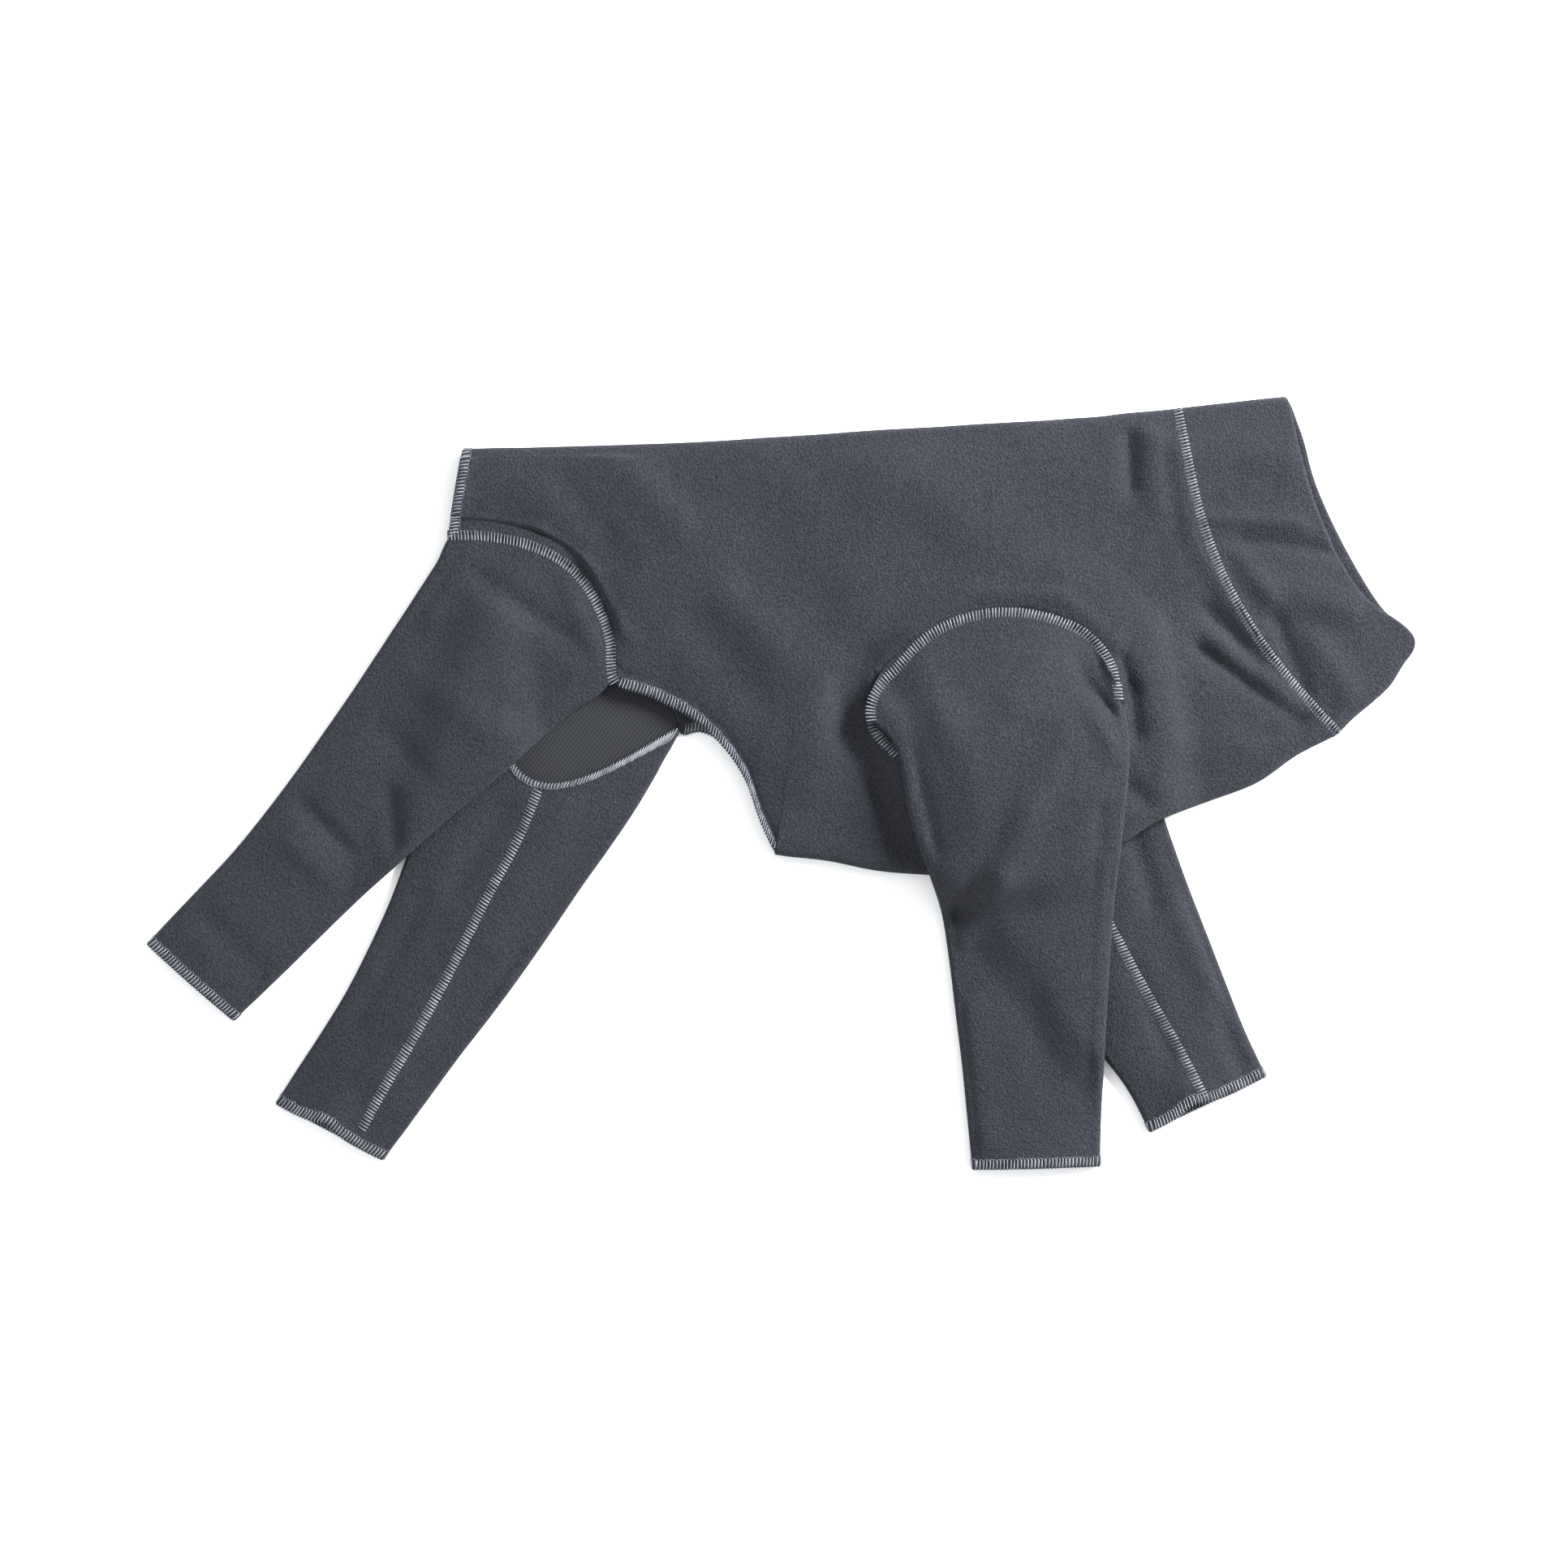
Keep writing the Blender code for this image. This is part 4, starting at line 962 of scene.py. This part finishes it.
def pile(name, shade):
    """Fleece pile: small curls with dark pits between them, over slow changes of the nap."""
    material, shader = shader_of(name, 0.95, 0.05)
    tree = material.node_tree
    place = tree.nodes.new("ShaderNodeTexCoord").outputs["Object"]
    curls = noise_node(tree, place, PILE_SCALE, 1.5)
    nap = noise_node(tree, place, 24.0, 2.0)
    # shade below 1 darkens the pile's colours as painted shade, for pieces that lie under others
    dark = tuple(c * shade for c in PILE_DARK)
    light = tuple(c * shade for c in PILE_LIGHT)
    colour = ramp_node(tree, curls, 0.30, 0.74, dark, light)
    tone = ramp_node(tree, nap, 0.30, 0.70, (0.94, 0.94, 0.94), (1.06, 1.06, 1.06))
    mix = tree.nodes.new("ShaderNodeMix")
    mix.data_type = "RGBA"
    mix.blend_type = "MULTIPLY"
    mix.inputs["Factor"].default_value = 1.0
    tree.links.new(colour, mix.inputs["A"])
    tree.links.new(tone, mix.inputs["B"])
    tree.links.new(mix.outputs["Result"], shader.inputs["Base Color"])
    cells = tree.nodes.new("ShaderNodeTexVoronoi")
    cells.feature = "DISTANCE_TO_EDGE"
    cells.inputs["Scale"].default_value = PILE_SCALE
    tree.links.new(place, cells.inputs["Vector"])
    clumps = ramp_node(tree, cells.outputs["Distance"], 0.0, 0.22, (0.0, 0.0, 0.0), (1.0, 1.0, 1.0))
    pits = tree.nodes.new("ShaderNodeMix")
    pits.data_type = "RGBA"
    pits.inputs["Factor"].default_value = 0.24
    tree.links.new(curls, pits.inputs["A"])
    tree.links.new(clumps, pits.inputs["B"])
    bump = tree.nodes.new("ShaderNodeBump")
    bump.inputs["Strength"].default_value = 1.0
    bump.inputs["Distance"].default_value = 0.0014
    tree.links.new(pits.outputs["Result"], bump.inputs["Height"])
    tree.links.new(bump.outputs["Normal"], shader.inputs["Normal"])
    return material


def inner_face(name):
    """The fleece's smoother inner face, with fine slanting ribs."""
    material, shader = shader_of(name, 0.9, 0.04)
    tree = material.node_tree
    place = tree.nodes.new("ShaderNodeTexCoord").outputs["Object"]
    turned = tree.nodes.new("ShaderNodeMapping")
    turned.inputs["Rotation"].default_value = (0.0, 0.0, math.radians(RIB_ANGLE))
    tree.links.new(place, turned.inputs["Vector"])
    ribs = tree.nodes.new("ShaderNodeTexWave")
    ribs.inputs["Scale"].default_value = 150.0
    ribs.inputs["Distortion"].default_value = 2.0
    ribs.inputs["Detail"].default_value = 2.0
    tree.links.new(turned.outputs["Vector"], ribs.inputs["Vector"])
    colour = ramp_node(tree, ribs.outputs["Fac"], 0.1, 0.9, RIB_DARK, RIB_LIGHT)
    tree.links.new(colour, shader.inputs["Base Color"])
    bump = tree.nodes.new("ShaderNodeBump")
    bump.inputs["Strength"].default_value = 0.35
    bump.inputs["Distance"].default_value = 0.0004
    tree.links.new(ribs.outputs["Fac"], bump.inputs["Height"])
    tree.links.new(bump.outputs["Normal"], shader.inputs["Normal"])
    return material


def thread(name, dark, light):
    material, shader = shader_of(name, 0.6, 0.03)
    tree = material.node_tree
    place = tree.nodes.new("ShaderNodeTexCoord").outputs["Object"]
    change = noise_node(tree, place, 160.0, 1.0)
    colour = ramp_node(tree, change, 0.32, 0.68, dark, light)
    tree.links.new(colour, shader.inputs["Base Color"])
    return material


def area_light(name, place, size, energy):
    """A round soft light that shines at the origin."""
    data = bpy.data.lights.new(name, "AREA")
    data.shape = "DISK"
    data.size = size
    data.energy = energy
    item = bpy.data.objects.new(name, data)
    item.location = place
    item.rotation_euler = (-Vector(place)).to_track_quat("-Z", "Y").to_euler()
    bpy.context.scene.collection.objects.link(item)


def main():
    floor = Floor()
    far_front, far_hole = sleeve(
        leg_rows(FRONT_FADES, FAR_FRONT_WIDTHS, True), FAR_ARMHOLE, FAR_ARMHOLE_TILT,
        FAR_FRONT_LENGTH, FAR_FRONT_HEADING, True, FAR_FRONT_FOLDS, floor,
    )
    curl(far_front, -0.2, 0.34, 0.0045, 0.0035, direction(FAR_FRONT_HEADING))
    far_front_surface = grid_surface(far_front, True)
    torso_base = Drape(far_front_surface)
    torso, closed = torso_grid(torso_base)
    collar = collar_grid(torso_base)
    torso_surface = grid_surface(torso, False)
    far_wall = grid_surface(torso[:, torso.shape[1] // 2:], False)
    hip = TORSO_STEPS * (HIP_ROWS - 1) + 1
    heading = direction(FAR_HIND_HEADING)
    ends, seam, inner, ways = hip_root(torso[:hip, -1], heading)
    far_hind = leg_walls(
        leg_rows(HIND_FADES, FAR_HIND_WIDTHS, True), ends, FAR_HIND_LENGTH, heading, inner, seam,
        ways, FAR_HIND_FOLDS, floor,
    )
    curl(far_hind, -0.1, 0.34, 0.0040, 0.0040, heading)
    far_hind_surface = grid_surface(far_hind, True)
    heading = direction(NEAR_HIND_HEADING)
    ends, near_hip, inner, ways = hip_root(torso[:hip, 0], heading)
    hip_height = along_curve(torso[:hip, 0], LEG_CELLS + 1)[:, 2]
    near_hind = leg_walls(
        leg_rows(HIND_FADES, NEAR_HIND_WIDTHS, False), ends, NEAR_HIND_LENGTH, heading, near_hip,
        inner, ways, NEAR_HIND_FOLDS, Drape(far_hind_surface, far_wall), hip_height,
    )
    near_front, near_hole = sleeve(
        leg_rows(FRONT_FADES, NEAR_FRONT_WIDTHS, False), NEAR_ARMHOLE, NEAR_ARMHOLE_TILT,
        NEAR_FRONT_LENGTH, NEAR_FRONT_HEADING, False, NEAR_FRONT_FOLDS, Drape(torso_surface, far_front_surface), torso_surface,
    )

    inner_cloth = inner_face("fleece_inner_face")
    # The far legs lie under the torso: their pile is a darker copy, shade 0.97, as painted shade.
    near_pile, far_pile_painted_shade = pile("fleece_pile", 1.0), pile("fleece_pile_far_painted_shade", 0.97)
    panels = {
        "torso": (torso_mesh(torso, closed, near_hole, far_hole), near_pile),
        "collar": (grid_surface(collar, True), near_pile),
        "front_leg_right": (grid_surface(near_front, True), near_pile),
        "front_leg_left": (far_front_surface, far_pile_painted_shade),
        "hind_leg_right": (grid_surface(near_hind, True), near_pile),
        "hind_leg_left": (far_hind_surface, far_pile_painted_shade),
    }
    items = {
        name: cloth(name, surface, (outer, inner_cloth)) for name, (surface, outer) in panels.items()
    }
    bpy.context.view_layer.update()
    near_names = ("torso", "hind_leg_right", "front_leg_right", "collar")
    bodies = solid_tree(*(items[name] for name in near_names))
    far_front_tree = solid_tree(items["front_leg_left"])
    far_hind_tree = solid_tree(items["hind_leg_left"])
    across = torso.transpose(1, 0, 2)
    wall = slice(0, LEG_CELLS + 1)
    shut_from = int(np.argmax(closed))
    last = torso[-1, :torso.shape[1] // 2, :2]
    near_armhole = seam_line(NEAR_ARMHOLE_SEAM)
    stitches = {
        "torso": (
            flatlock(bodies, torso[:hip, 0, :2], 1, -1.0),
            flatlock(bodies, last, 2, -1.0),
            flatlock(bodies, near_armhole, 3),
            overlock(torso, False, 20, 4),
            overlock(across[:, hip:shut_from], False, 5, 5),
            overlock(across[::-1][:, hip:shut_from], False, 5, 6),
        ),
        "front_leg_right": (overlock(near_front[::-1], True, 10, 7),),
        "front_leg_left": (
            overlock(far_front[::-1], True, 10, 8),
            flatlock(far_front_tree, seam_line(FAR_FRONT_SEAM), 9),
        ),
        "hind_leg_right": (overlock(near_hind[::-1], True, 10, 10),),
        "hind_leg_left": (
            overlock(far_hind[::-1], True, 10, 11),
            overlock(far_hind[:, wall], False, 10, 12),
            flatlock(far_hind_tree, seam_line(FAR_HIND_SEAM), 13),
        ),
    }
    # The first tubes of each piece take the thread darkened as painted shade of the pile, and the rest
    # take its own colour.
    yarns = (
        thread("seam_thread_painted_shade", *PILE_SHADED_THREAD), thread("seam_thread", *TOP_THREAD),
    )
    for name, parts in stitches.items():
        shaded_threads = join([tube for pair in parts for tube in pair[0]])
        light = join([tube for pair in parts for tube in pair[1]])
        points, faces = join([shaded_threads, light])
        item = link_object(name + "_stitches", points, faces, yarns, len(shaded_threads[1]))
        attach(item, "root")
        items[name + "_stitches"] = item

    bpy.ops.mesh.primitive_plane_add(size=FLOOR_SIZE, location=(0.0, 0.0, -FLOOR_DROP))
    ground = bpy.context.object
    ground.name = "floor"
    material = bpy.data.materials.new("floor_white")
    material.use_nodes = True
    shader = material.node_tree.nodes["Principled BSDF"]
    shader.inputs["Base Color"].default_value = FLOOR_WHITE
    shader.inputs["Roughness"].default_value = 0.9
    ground.data.materials.append(material)

    world = bpy.data.worlds.new("studio")
    world.use_nodes = True
    sky = world.node_tree.nodes["Background"]
    sky.inputs["Color"].default_value = SKY
    sky.inputs["Strength"].default_value = SKY_STRENGTH
    bpy.context.scene.world = world
    area_light("key", *KEY_LIGHT)
    area_light("fill", *FILL_LIGHT)
    bpy.context.scene.view_settings.view_transform = "Standard"

    camera_data = bpy.data.cameras.new("camera")
    camera_data.lens = SENSOR * VIEW_DISTANCE / VIEW_WIDTH
    camera_data.sensor_width = SENSOR
    camera = bpy.data.objects.new("camera", camera_data)
    camera.location = (CAMERA_SHIFT, -CAMERA_SHIFT, CAMERA_HEIGHT)
    bpy.context.scene.collection.objects.link(camera)
    bpy.context.scene.camera = camera


main()
